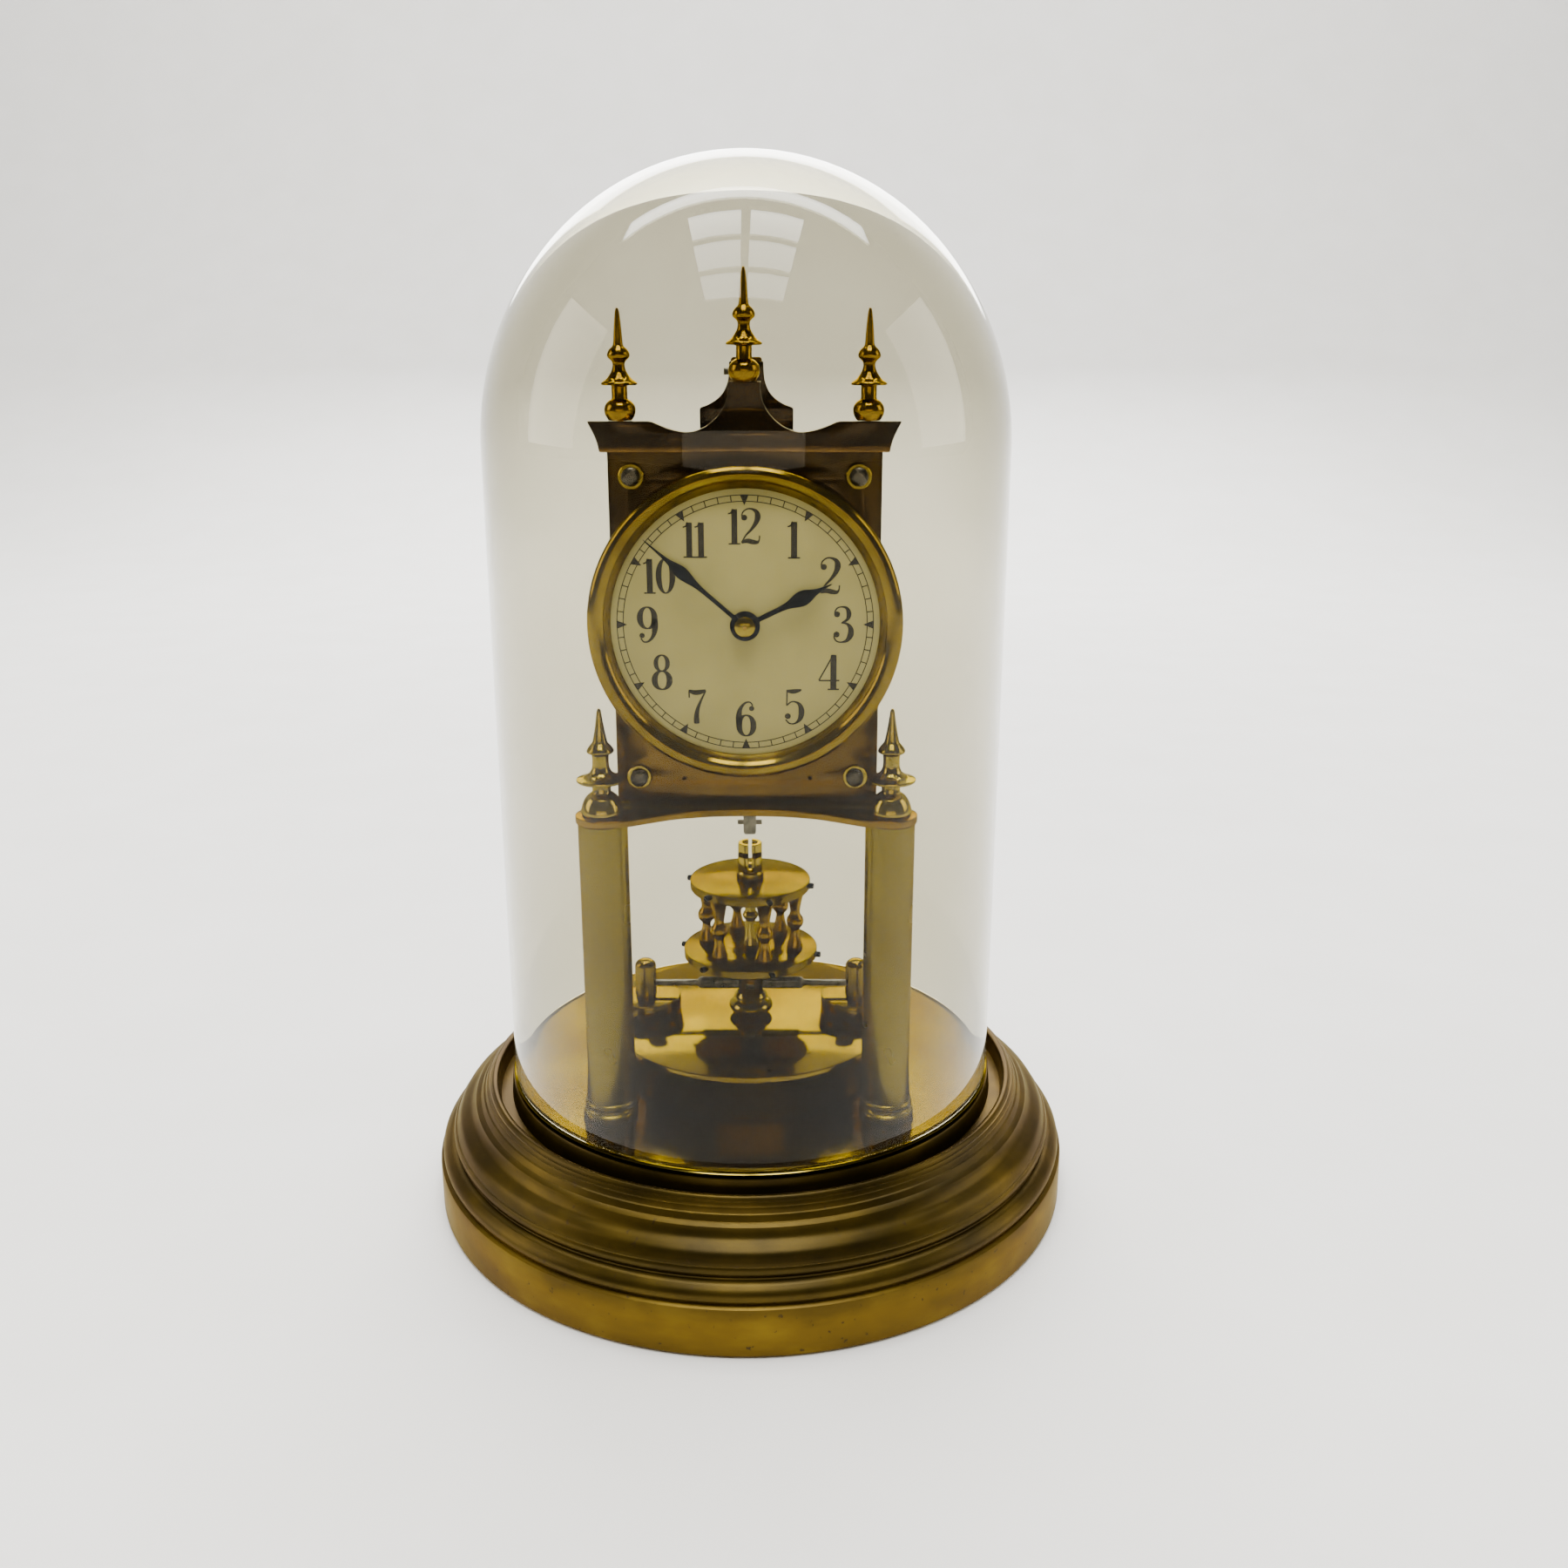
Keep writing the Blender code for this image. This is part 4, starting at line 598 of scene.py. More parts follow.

# ---- cornice ----------------------------------------------------------------
# A casting of thick brass filed to a double ogee with a tall peak. Its brown
# lacquer is scratched through in hair lines, and it is bright along the lower edge.
# Thick dark lacquer on filed brass: nearly black brown, glossy, with gold hair lines.
cornice_film, tree = new_material("dark_brown_lacquer")
patches = mottling(tree, 9, 6.0)
film = colour_ramp(tree, patches, [(0.3, "140A02"), (0.55, "241604"), (0.75, "34240A")])
bare = colour_ramp(tree, patches, [(0.3, "5E4414"), (0.7, "8A6A34")])
scratches = grey_ramp(tree, mottling(tree, 2.2, 2.0, (0.1, 1.6, 1.0)), 0.0, 0.55, (0.66, 0.72))
colour = blend_colour(tree, scratches, film, bare)
# Bright brass colour below a set height in the piece's own frame: a band along the cornice's lower edge.
lower_edge_band = grey_ramp(tree, along(tree, "Y"), 1.0, 0.0, (-0.0088, -0.0076))
colour = blend_colour(tree, lower_edge_band, colour, bare)
shade(tree, {"Metallic": 0.9, "Coat Weight": 0.5, "Coat Roughness": 0.1},
      {"Base Color": colour, "Roughness": grey_ramp(tree, patches, 0.21, 0.25),
       "Normal": bump(tree, mottling(tree, 1.2, 3.0, (0.2, 1.2, 1)), 0.015, 0.3)})
low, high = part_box("gallery")
# g is the cornice's lower edge and w its half width.
g, w = low.z / MM, high.x / MM
edge = [(0, g), (w - 3.2, g), (w - 2.9, g + 0.3)]
edge += eased([(w - 2.75, g + 1.2), (w - 2.4, g + 2.6), (w - 1.8, g + 4.3), (w - 0.9, g + 6.2),
               (w - 0.25, g + 7.4)], 4)
edge += [(w, g + 8.1), (25.4, g + 8.1)]
edge += eased([(24.7, g + 7.9), (22.6, g + 7.0), (19.8, g + 6.0), (17.0, g + 5.4), (14.8, g + 5.3),
               (12.6, g + 5.8), (10.2, g + 6.9), (7.9, g + 8.7), (6.6, g + 10.2), (5.5, g + 11.9),
               (4.8, g + 13.6), (4.3, g + 15.7), (4.2, g + 17.5)], 4) + [(4.5, g + 18.4), (0, g + 18.4)]
outline = edge[1:-1] + [(-x, z) for x, z in reversed(edge[1:-1])]
middle_z = g + 9.2
mesh, spot, turn = flat_work("cornice", [[(x, z - middle_z) for x, z in outline]], low.y / MM,
                             high.y / MM, at=(0, middle_z), soft=0.22)
keep("filed_cornice", mesh, cornice_film, "clock_frame", "gallery", at=spot, turn=turn,
     slot_name="lacquered_brass")

# ---- cornice finials --------------------------------------------------------
# Three turned finials on fine studs: a ball foot, a neck under a wide flat cap,
# a waist with a bead, and a spike. They are dark with the same old lacquer.
spire_film = turned_brass("lacquered_finial_brass", "665010", "927626", (0.13, 0.16), 6, 0.2)
spire = [(0, 28.8), (0.35, 28.65)]
spire += eased([(0.6, 27.6), (0.85, 25.4), (1.05, 23.0), (1.2, 20.9), (1.35, 19.5), (1.7, 18.9)], 4)
spire += eased([(2.5, 18.2), (3.0, 17.1), (2.85, 16.2), (2.1, 15.5), (1.7, 15.0)], 5)
spire += eased([(1.6, 14.4), (1.75, 13.4), (2.3, 12.2), (3.3, 10.9), (4.5, 10.0), (4.8, 9.7)], 5)
spire += [(4.85, 9.4), (4.6, 9.15), (2.3, 9.0), (2.1, 8.8), (2.1, 6.0)]
spire += eased([(2.25, 5.5), (3.1, 5.0), (3.9, 4.0), (4.2, 2.8), (4.0, 1.5), (3.4, 0.4), (3.1, 0.0)], 5)
spire += [(0.7, 0.0), (0.7, -4.4), (0, -4.4)]
for place_name in ("left", "centre", "right"):
    node = "gallery_finial_" + place_name
    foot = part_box(node)[1].z / MM - spire[0][1]
    keep("turned_spire_" + place_name, lathe(spire, 56), spire_film, "clock_frame", node,
         at=(*centre(node), foot), slot_name="turned_brass")

# ---- dial -------------------------------------------------------------------
# Copper dial under cream enamel, on three feet. The numerals and minute track
# are fired black paint, laid here as very thin raised strokes.
# Vitreous enamel on copper: glassy cream with small foxed spots.
enamel, tree = new_material("cream_dial_enamel")
clouds = mottling(tree, 14, 5.0)
cream = colour_ramp(tree, clouds, [(0.3, "B8B172"), (0.7, "C6BF80")])
foxing = grey_ramp(tree, mottling(tree, 1.1, 2.0), 1.0, 0.0, (0.23, 0.27))
cream = blend_colour(tree, foxing, cream, colour_ramp(tree, clouds, [(0, "A89A62"), (1, "B5A872")]))
shade(tree, {"Coat Weight": 0.6, "Coat Roughness": 0.06},
      {"Base Color": cream, "Roughness": grey_ramp(tree, clouds, 0.32, 0.42),
       "Normal": bump(tree, mottling(tree, 2.5, 2.0), 0.01, 0.2)})
# Oxide paint fired into the enamel: a warm black with a low gloss.
black_paint, tree = new_material("fired_black_paint")
clouds = mottling(tree, 1.4, 4.0)
ink = colour_ramp(tree, clouds, [(0.3, "0C0B09"), (0.7, "1B1813")])
shade(tree, {"Coat Weight": 0.3}, {"Base Color": ink, "Roughness": grey_ramp(tree, clouds, 0.35, 0.5)})
dial_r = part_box("dial")[1].x / MM
face = front_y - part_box("dial")[0].y / MM
round_plate = [(2.8, face), (3.0, face), (12, face), (24, face), (dial_r - 0.5, face),
               (dial_r, face - 0.25), (dial_r, face - 1.0), (2.8, face - 1.0)]
keep("enamel_dial", lathe(round_plate, 160, closed=True), enamel, "clock_frame", "dial",
     at=(0, front_y, dial_z), turn=FACING_FRONT, slot_name="cream_enamel")
for number, degrees in enumerate((90, 210, 330), 1):
    keep("dial_foot_%d" % number, lathe([(0, face - 1.05), (1.6, face - 1.05), (0.8, face - 1.7),
                                         (0.8, -1.3), (0.6, -1.4), (0, -1.4)], 24), fine_brass, "clock_frame",
         at=(30 * cos(radians(degrees)), front_y, dial_z + 30 * sin(radians(degrees))), turn=FACING_FRONT)

# Each stroke of a numeral is a centre line with a width at every point; the
# shapes are in a box 10.2 mm high, and stand upright all round the dial.
HAIR, STEM = 0.42, 1.7


def oval(cx, cz, rx, rz, thick=STEM):
    """A round bowl: hair thin at its top and bottom, thick on its sides."""
    made = []
    for k in range(29):
        a = radians(360 * k / 28)
        made.append((cx + rx * cos(a), cz + rz * sin(a), HAIR + (thick - HAIR) * abs(cos(a)) ** 1.5))
    return made


def ball(x, z, radius=0.85):
    """The round drop that ends a curl."""
    return [(x, z + radius, 0.05), (x, z + radius * 0.7, radius * 1.43), (x, z, radius * 2),
            (x, z - radius * 0.7, radius * 1.43), (x, z - radius, 0.05)]


# Each digit is its width, then its strokes.
DIGITS = {
    "1": (3.4, [[(0, 4.9, STEM), (0, -5.0, STEM)], [(-1.7, -4.95, HAIR), (1.7, -4.95, HAIR)],
                [(-1.8, 3.6, HAIR), (-0.9, 3.9, 0.5), (-0.2, 4.85, 0.9)]]),
    "2": (5.8, [ball(-1.75, 2.5),
                [(-2.5, 2.9, HAIR), (-2.1, 4.1, HAIR), (-0.9, 4.95, HAIR), (0.4, 4.95, 0.6), (1.7, 4.2, 1.2),
                 (2.1, 2.8, STEM), (1.6, 1.1, 1.3), (0.2, -0.9, 0.8), (-1.4, -2.6, 0.5), (-2.4, -4.4, HAIR)],
                [(-2.6, -4.6, 0.7), (-1.0, -4.1, 1.3), (0.6, -4.4, 1.4), (1.9, -4.5, 1.0), (2.5, -3.8, HAIR),
                 (2.6, -2.6, HAIR)]]),
    "3": (5.6, [ball(-1.6, 2.9), ball(-1.7, -2.8),
                [(-2.3, 3.4, HAIR), (-1.6, 4.6, HAIR), (-0.3, 5.0, HAIR), (1.1, 4.6, 0.9), (1.7, 3.1, 1.4),
                 (1.3, 1.5, 0.9), (-0.2, 0.5, HAIR)],
                [(-0.4, 0.5, HAIR), (1.2, 0.2, 0.7), (2.2, -1.1, 1.4), (2.2, -2.9, STEM), (1.2, -4.5, 1.0),
                 (-0.4, -5.0, HAIR), (-1.8, -4.6, HAIR), (-2.5, -3.3, HAIR)]]),
    "4": (6.2, [[(1.2, 4.9, 1.2), (1.2, 4.0, STEM), (1.2, -5.0, STEM)],
                [(1.1, 4.95, HAIR), (-2.9, -2.3, HAIR)], [(-2.9, -2.4, HAIR), (2.9, -2.4, HAIR)],
                [(-0.4, -4.95, HAIR), (2.8, -4.95, HAIR)]]),
    "5": (5.6, [[(-1.9, 4.9, HAIR), (-2.0, 0.3, HAIR)],
                [(-1.9, 4.6, 0.7), (-0.4, 4.4, 1.3), (1.0, 4.6, 1.1), (2.2, 4.9, HAIR)], ball(-1.7, -2.8),
                [(-2.0, 0.3, HAIR), (-0.9, 1.3, HAIR), (0.4, 1.4, 0.5), (1.7, 0.5, 1.1), (2.2, -1.4, STEM),
                 (1.8, -3.5, 1.3), (0.4, -4.9, 0.5), (-1.2, -4.9, HAIR), (-2.3, -3.8, HAIR)]]),
    "6": (5.8, [oval(0.1, -1.9, 2.05, 3.0),
                [(2.0, 3.9, HAIR), (1.2, 4.9, HAIR), (-0.2, 4.7, 0.6), (-1.5, 3.1, 1.1), (-2.0, 0.9, STEM),
                 (-1.95, -1.6, STEM)], ball(1.65, 3.1, 0.75)]),
    "7": (5.4, [[(-2.3, 4.6, 0.9), (-0.8, 4.1, 1.4), (0.9, 4.3, 1.3), (2.3, 4.8, 0.6)],
                [(-2.4, 4.9, HAIR), (-2.4, 2.6, HAIR)],
                [(2.3, 4.6, HAIR), (1.2, 2.4, 0.6), (0.1, -0.2, 1.0), (-0.4, -2.6, 1.4), (-0.4, -4.6, 1.6),
                 (-0.4, -5.0, 1.0)]]),
    "8": (5.8, [oval(0, 2.6, 1.65, 2.3, 1.3), oval(0, -2.3, 2.1, 2.65)]),
    "9": (5.8, [oval(-0.1, 1.9, 2.05, 3.0),
                [(-2.0, -3.9, HAIR), (-1.2, -4.9, HAIR), (0.2, -4.7, 0.6), (1.5, -3.1, 1.1), (2.0, -0.9, STEM),
                 (1.95, 1.6, STEM)], ball(-1.65, -3.1, 0.75)]),
    "0": (5.8, [oval(0, 0, 2.0, 4.95)]),
}
paint = bmesh.new()
PAINT_FRONT, PAINT_BACK = face + 0.05, face - 0.03


def paint_outline(left, right, loop=False):
    """One flat stroke of paint between two edge lines, a few hundredths thick."""
    front, rear = [[[paint.verts.new((x * MM, z * MM, depth * MM)) for x, z in side]
                    for side in (left, right)] for depth in (PAINT_FRONT, PAINT_BACK)]
    count = len(left)
    for k in range(count if loop else count - 1):
        n = (k + 1) % count
        paint.faces.new((front[0][k], front[0][n], front[1][n], front[1][k]))
        paint.faces.new((rear[0][k], rear[1][k], rear[1][n], rear[0][n]))
        paint.faces.new((front[0][k], rear[0][k], rear[0][n], front[0][n]))
        paint.faces.new((front[1][k], front[1][n], rear[1][n], rear[1][k]))
    if not loop:
        for k in (0, count - 1):
            paint.faces.new((front[0][k], front[1][k], rear[1][k], rear[0][k]))


def stroke(points, cx, cz, turn=0.0, size=1.0, smooth=True):
    """A brush line with changing width, moved to its place on the dial."""
    run = eased(points, 6) if smooth and len(points) > 2 else points
    left, right = [], []
    for k, (x, z, width) in enumerate(run):
        ax, az, _ = run[max(k - 1, 0)]
        bx, bz, _ = run[min(k + 1, len(run) - 1)]
        far = hypot(bx - ax, bz - az) or 1.0
        nx, nz = -(bz - az) / far * width / 2, (bx - ax) / far * width / 2
        for side, sign in ((left, 1), (right, -1)):
            px, pz = (x + sign * nx) * size, (z + sign * nz) * size
            side.append((cx + px * cos(turn) - pz * sin(turn), cz + px * sin(turn) + pz * cos(turn)))
    paint_outline(left, right)


NUMERAL_R = 26.7
TRACK_OUTER, TRACK_INNER, TRACK_LINE = 35.1, 33.4, 0.24
for hour in range(1, 13):
    around = radians(30 * hour)
    cx, cz = NUMERAL_R * sin(around), NUMERAL_R * cos(around)
    label = str(hour)
    squeeze = 0.98 if len(label) == 1 else 0.94
    widths = [DIGITS[d][0] for d in label]
    start = -sum(widths) / 2
    for digit, width in zip(label, widths):
        shift = start + width / 2
        start += width
        for line in DIGITS[digit][1]:
            stroke([(x + shift, z, w) for x, z, w in line], cx, cz, size=squeeze)
for ring_r in (TRACK_OUTER, TRACK_INNER):
    edges = [ring_r + TRACK_LINE / 2, ring_r - TRACK_LINE / 2]
    circles = [[(e * cos(2 * pi * k / 180), e * sin(2 * pi * k / 180)) for k in range(180)] for e in edges]
    paint_outline(*circles, loop=True)
for minute in range(60):
    a = radians(6 * minute)
    ux, uz = sin(a), cos(a)
    if minute % 5 == 0:
        tip, wide, far = 32.4, 1.15, TRACK_OUTER
        left = [(far * ux - wide * uz, far * uz + wide * ux), (tip * ux - 0.05 * uz, tip * uz + 0.05 * ux)]
        right = [(far * ux + wide * uz, far * uz - wide * ux), (tip * ux + 0.05 * uz, tip * uz - 0.05 * ux)]
        paint_outline(left, right)
    else:
        mid = (TRACK_OUTER + TRACK_INNER) / 2
        stroke([(0, -0.85, 0.28), (0, 0.85, 0.28)], mid * ux, mid * uz, -a, smooth=False)
bmesh.ops.recalc_face_normals(paint, faces=paint.faces)
mesh = bpy.data.meshes.new("dial_paint")
paint.to_mesh(mesh)
paint.free()
keep("dial_numerals", mesh, black_paint, "clock_frame", at=(0, front_y, dial_z), turn=FACING_FRONT)

# ---- bezel ------------------------------------------------------------------
# A deep ring spun from brass sheet: straight side, rolled front edge and an inner
# bevel down to the enamel. Polished and lacquered, with cloudy tarnish.
bezel_brass = polished_brass("buffed_bezel_brass", "6E5A10", "A08A2C", rough=(0.10, 0.13), cloud=15)
rr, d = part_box("bezel")[1].x / MM, 13.0
ring = [(rr - 1.2, 0.2), (rr - 0.2, 0.2), (rr, 0.4), (rr, d - 2.6)]
ring += eased([(rr, d - 2.3), (rr - 0.25, d - 1.35), (rr - 0.95, d - 0.55), (rr - 1.9, d - 0.1),
               (rr - 2.6, d), (rr - 3.3, d - 0.15), (rr - 4.1, d - 0.7), (rr - 4.9, d - 1.6),
               (rr - 5.7, d - 2.7)], 4)
ring += [(rr - 6.25, face + 0.35), (rr - 6.2, face + 0.2), (rr - 4.45, face + 0.2), (rr - 4.45, face - 1.6),
         (rr - 1.2, face - 2.0)]
keep("spun_bezel", lathe(ring, 192, closed=True), bezel_brass, "clock_frame", "bezel",
     at=(0, front_y, dial_z), turn=FACING_FRONT, slot_name="polished_brass")

# ---- hands ------------------------------------------------------------------
# Punched from thin sheet steel, polished and blued almost black. Each swells to
# a pear below its point; the hour hand lies under the minute hand.
# Steel blued by heat until nearly black, with a cold sheen at a slant.
blued = steel("blue_black_steel", "14161C", "262B38", "B8BCC8", 4, (0.28, 0.31), 0.9)


def dial_hand(name, node, half_widths, hub, bore, turn, body, back, thick):
    """Cut a hand: round hub, slim shank, pear swell and a fine point."""
    edge = eased(half_widths, 5)
    start = atan2(half_widths[0][1], half_widths[0][0])
    angles = [start + (2 * pi - 2 * start) * k / 36 for k in range(37)]
    loop = [(hub * cos(a), hub * sin(a)) for a in angles]
    loop += [(x, -w) for x, w in edge[1:]] + [(x, w) for x, w in reversed(edge[1:-1])]
    turned_loop = [(x * cos(turn) - w * sin(turn), x * sin(turn) + w * cos(turn)) for x, w in loop]
    mesh, spot, facing = flat_work(name, [turned_loop, round_hole(0, 0, bore)], back - thick, back,
                                   at=(0, dial_z), soft=0.05)
    keep(name, mesh, blued, body, node, at=spot, turn=facing, slot_name="blued_steel")


hour_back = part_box("hour_hand")[1].y / MM
minute_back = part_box("minute_hand")[1].y / MM
hour_half = [(4.06, 0.75), (4.8, 0.66), (7.0, 0.72), (10.5, 0.74), (13.2, 1.05), (15.4, 1.75), (17.3, 2.12),
             (19.2, 1.75), (21.2, 0.9), (23.6, 0.42), (26.35, 0.1)]
minute_half = [(2.5, 0.6), (3.2, 0.62), (6.0, 0.58), (14.0, 0.62), (17.4, 0.85), (20.2, 1.4), (22.3, 1.72),
               (24.4, 1.38), (27.0, 0.68), (30.0, 0.38), (36.0, 0.1)]
dial_hand("pear_hour_hand", "hour_hand", hour_half, 4.12, 2.02, radians(90 - 64), "hour_pipe",
          hour_back, 0.5)
dial_hand("pear_minute_hand", "minute_hand", minute_half, 2.57, 0.93, radians(90 + 49), "minute_shaft",
          minute_back, 0.5)

# ---- hand washer and centre pin ---------------------------------------------
# A domed brass washer pressed on the centre arbor, held by a small taper pin.
washer = [(0.66, 0.0), (2.6, 0.0), (2.78, 0.12)]
washer += eased([(2.7, 0.3), (2.2, 0.58), (1.5, 0.82), (0.95, 0.93), (0.66, 0.93)], 4)
keep("domed_hand_washer", lathe(washer, 64, closed=True), fine_brass, "minute_shaft", "hand_washer",
     at=(0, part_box("hand_washer")[1].y / MM, dial_z), turn=FACING_FRONT, slot_name="turned_brass")

# ---- movement inside the plates ---------------------------------------------
# Hard brass wheels and barrel, steel winding work and blued springs. They keep
# their working shapes from the assembly; an arbor shares its wheel's brass.
wheel_brass = turned_brass("wheel_cutting_brass", "8A6A2A", "C09C52", (0.18, 0.21), 6, 0.3)
# Bright steel under a thin film of clock oil: a soft grey sheen.
arbor_steel = steel("oiled_arbor_steel", "5A5854", "8A8882", "E8E8E8", 2.5, (0.27, 0.30))
# Tempered spring steel: slate blue from the heat.
spring_steel = steel("blued_spring_steel", "26303F", "4A5568", "B8BCC8", 3.5, (0.27, 0.30))
nodes = frame["nodes"]
for finish, names in ((wheel_brass, ("barrel", "first_arbor", "second_arbor", "centre_arbor", "third_arbor",
                                     "escape_arbor", "minute_wheel", "hour_wheel", "suspension_fork",
                                     "suspension_top_block")),
                      (arbor_steel, ("barrel_arbor", "ratchet_wheel", "click", "anchor", "cannon_pinion",
                                     "suspension_bottom_block", "saddle_screw")),
                      (spring_steel, ("mainspring", "suspension_spring"))):
    for name in names:
        mesh = nodes[name].data
        for number in range(len(mesh.materials)):
            mesh.materials[number] = finish
        mesh.shade_smooth()
        mesh.set_sharp_from_angle(angle=radians(30))

# ---- suspension bracket -----------------------------------------------------
# A brass cock screwed to the back plate; its slotted head carries the top block
# of the torsion spring, pinned by a cross screw.
low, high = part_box("suspension_bracket")
shoulders = [(13.3, low.z / MM), (13.3, g + 10.4), (13.0, g + 10.8)]
shoulders += eased([(12.6, g + 10.95), (10.4, g + 11.8), (8.0, g + 13.4), (6.3, g + 15.4), (5.2, g + 18.2),
                    (4.9, g + 21.0), (4.85, g + 23.3)], 4)
head_z = g + 23.4
middle_z = (low.z / MM + head_z) / 2
slot_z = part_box("suspension_top_block")[0].z / MM - 2
half_outline = shoulders + [(4.6, head_z), (1.15, head_z), (1.15, slot_z)]
half_outline = [(x, z - middle_z) for x, z in half_outline]
outline = half_outline + [(-x, z) for x, z in reversed(half_outline)]
cock_back, cock_front = high.y / MM, low.y / MM
mesh, spot, turn = flat_work("cock", [outline], cock_front, cock_front + SHEET, at=(0, middle_z))
keep("filed_cock", mesh, cornice_film, "clock_frame", "suspension_bracket", at=spot, turn=turn,
     slot_name="lacquered_brass")
cheek_low, cheek_high = slot_z + 2.4, high.z / MM - 0.05
for side, s in (("left", -1), ("right", 1)):
    cheek = [(1.15, cheek_low), (4.1, cheek_low), (4.38, cheek_low + 0.3), (4.38, cheek_high - 0.5),
             (3.9, cheek_high), (1.15, cheek_high)]
    loop = [(s * x, z) for x, z in cheek]
    mesh, spot, turn = flat_work("cheek", [loop], cock_front + 1.75, cock_back - 0.02, soft=0.1)
    keep("cock_cheek_" + side, mesh, platform_brass, "clock_frame", at=spot, turn=turn)

# ---- pendulum ---------------------------------------------------------------
# A heavy brass disc with a raised band, a turned spindle, and a crown of six
# balusters between two discs; all turned, polished and lacquered.
disc_brass = polished_brass("buffed_pendulum_brass", "6A5814", "94802C", rough=(0.09, 0.12), cloud=20,
                            speck=2.6, speck_edge=(0.25, 0.28))
low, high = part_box("pendulum_disc")
rr, b, t = high.x / MM, low.z / MM, high.z / MM
drum = [(2.45, t), (rr - 0.4, t), (rr - 0.1, t - 0.12), (rr, t - 0.4), (rr, t - 2.3), (rr - 0.2, t - 2.6),
        (rr - 0.9, t - 2.75), (rr - 1.0, t - 2.95), (rr - 1.0, b + 0.7), (rr - 1.15, b + 0.3), (rr - 1.5, b),
        (2.45, b)]
keep("turned_disc", lathe(drum, 192, closed=True), disc_brass, "pendulum", "pendulum_disc",
     slot_name="polished_brass")

hook_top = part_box("pendulum_spindle")[1].z / MM
# c0 to c3 are the lower and upper faces of the two crown discs, from the bottom.
c0, c1, c2, c3 = [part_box("crown_disc_" + level)[k].z / MM for level in ("lower", "upper") for k in (0, 1)]
z = t + 0.2
spindle = [(0, hook_top - 9.0), (2.35, hook_top - 9.0), (2.35, hook_top - 0.15), (2.5, hook_top),
           (3.5, hook_top), (3.7, hook_top - 0.2), (3.85, c3 + 2.6), (4.2, c3 + 2.2), (4.3, c3 + 1.9),
           (4.3, c3 + 0.4), (4.1, c3 + 0.2), (2.4, c3 + 0.2), (2.4, c2 - 0.2), (2.8, c2 - 0.2),
           (2.9, c2 - 0.5)]
spindle += eased([(2.6, c2 - 1.6), (2.0, c2 - 5.0), (1.75, c2 - 7.4), (1.75, c2 - 8.1), (2.15, c2 - 8.7),
                  (2.5, c2 - 9.6), (2.15, c2 - 10.5), (1.6, c2 - 11.2), (1.6, c2 - 12.0), (2.2, c1 + 3.4),
                  (2.8, c1 + 1.1), (2.85, c1 + 0.6)], 4)
spindle += [(2.85, c1 + 0.2), (2.4, c1 + 0.2), (2.4, c0 - 0.2), (4.2, c0 - 0.2), (4.35, c0 - 0.4),
            (4.35, z + 7.2)]
spindle += eased([(4.6, z + 6.9), (5.15, z + 6.2), (5.15, z + 5.7), (4.75, z + 5.2), (4.9, z + 4.8),
                  (6.1, z + 4.1), (6.95, z + 3.0), (6.8, z + 1.9), (6.1, z + 1.0), (5.6, z + 0.5),
                  (5.5, z + 0.15)], 4)
spindle += [(5.4, z), (2.3, z), (2.3, b + 0.4), (0, b + 0.4)]
rod_z = (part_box("regulator_rod")[0].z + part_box("regulator_rod")[1].z) / 2 / MM
mesh = lathe(spindle, 72)
mesh = cut_slot(mesh, (0, 0, rod_z), (20, 4.3, 4.3))
mesh = cut_slot(mesh, (0, -3.2, rod_z - 1.7), (2.7, 5.6, 5.8))
mesh = cut_slot(mesh, (0, 0, hook_top - 3), (1.1, 12, 10))
mesh = cut_slot(mesh, (0, -2.7, hook_top - 3.5), (12, 6.6, 1.8))
keep("turned_spindle", mesh, fine_brass, "pendulum", "pendulum_spindle", slot_name="turned_brass")

crown_brass = polished_brass("dark_crown_brass", "54480E", "7C6A20", rough=(0.12, 0.15), cloud=10, speck=1.6)
for level, low_z, high_z in (("lower", c0, c1), ("upper", c2, c3)):
    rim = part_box("crown_disc_" + level)[1].x / MM
    disc = [(2.55, high_z), (rim - 0.5, high_z), (rim - 0.15, high_z - 0.15), (rim - 0.02, high_z - 0.5),
            (rim - 0.02, low_z + 0.4), (rim - 0.3, low_z), (2.55, low_z)]
    keep("crown_%s_disc" % level, lathe(disc, 128, closed=True), crown_brass, "pendulum",
         "crown_disc_" + level, slot_name="polished_brass")

# The post stands between a and b_top, with its fattest bead at m.
a, b_top = c1 + 0.2, c2 - 0.2
m = a + 9.2
post = [(0, b_top + 2.2), (0.9, b_top + 2.2), (1.0, b_top + 2.1), (1.0, b_top), (2.8, b_top),
        (2.9, b_top - 0.15)]
post += eased([(2.75, b_top - 0.7), (2.2, b_top - 3.0), (1.75, b_top - 5.6), (1.55, m + 3.4), (1.6, m + 2.6),
               (2.0, m + 1.9), (2.5, m + 1.1), (2.7, m), (2.5, m - 1.1), (1.9, m - 1.9), (1.4, m - 2.6),
               (1.35, m - 3.4), (1.6, m - 5.0), (2.15, a + 2.2), (2.45, a + 1.2)], 4)
post += [(2.5, a + 0.9), (2.5, a + 0.1), (2.4, a), (1.0, a), (1.0, a - 1.8), (0.9, a - 1.9), (0, a - 1.9)]
grub = [(0, 1.5), (0.6, 1.5), (0.82, 1.35), (0.9, 1.1), (0.9, 0.12), (0.7, 0.0), (0.6, -1.8), (0, -1.8)]
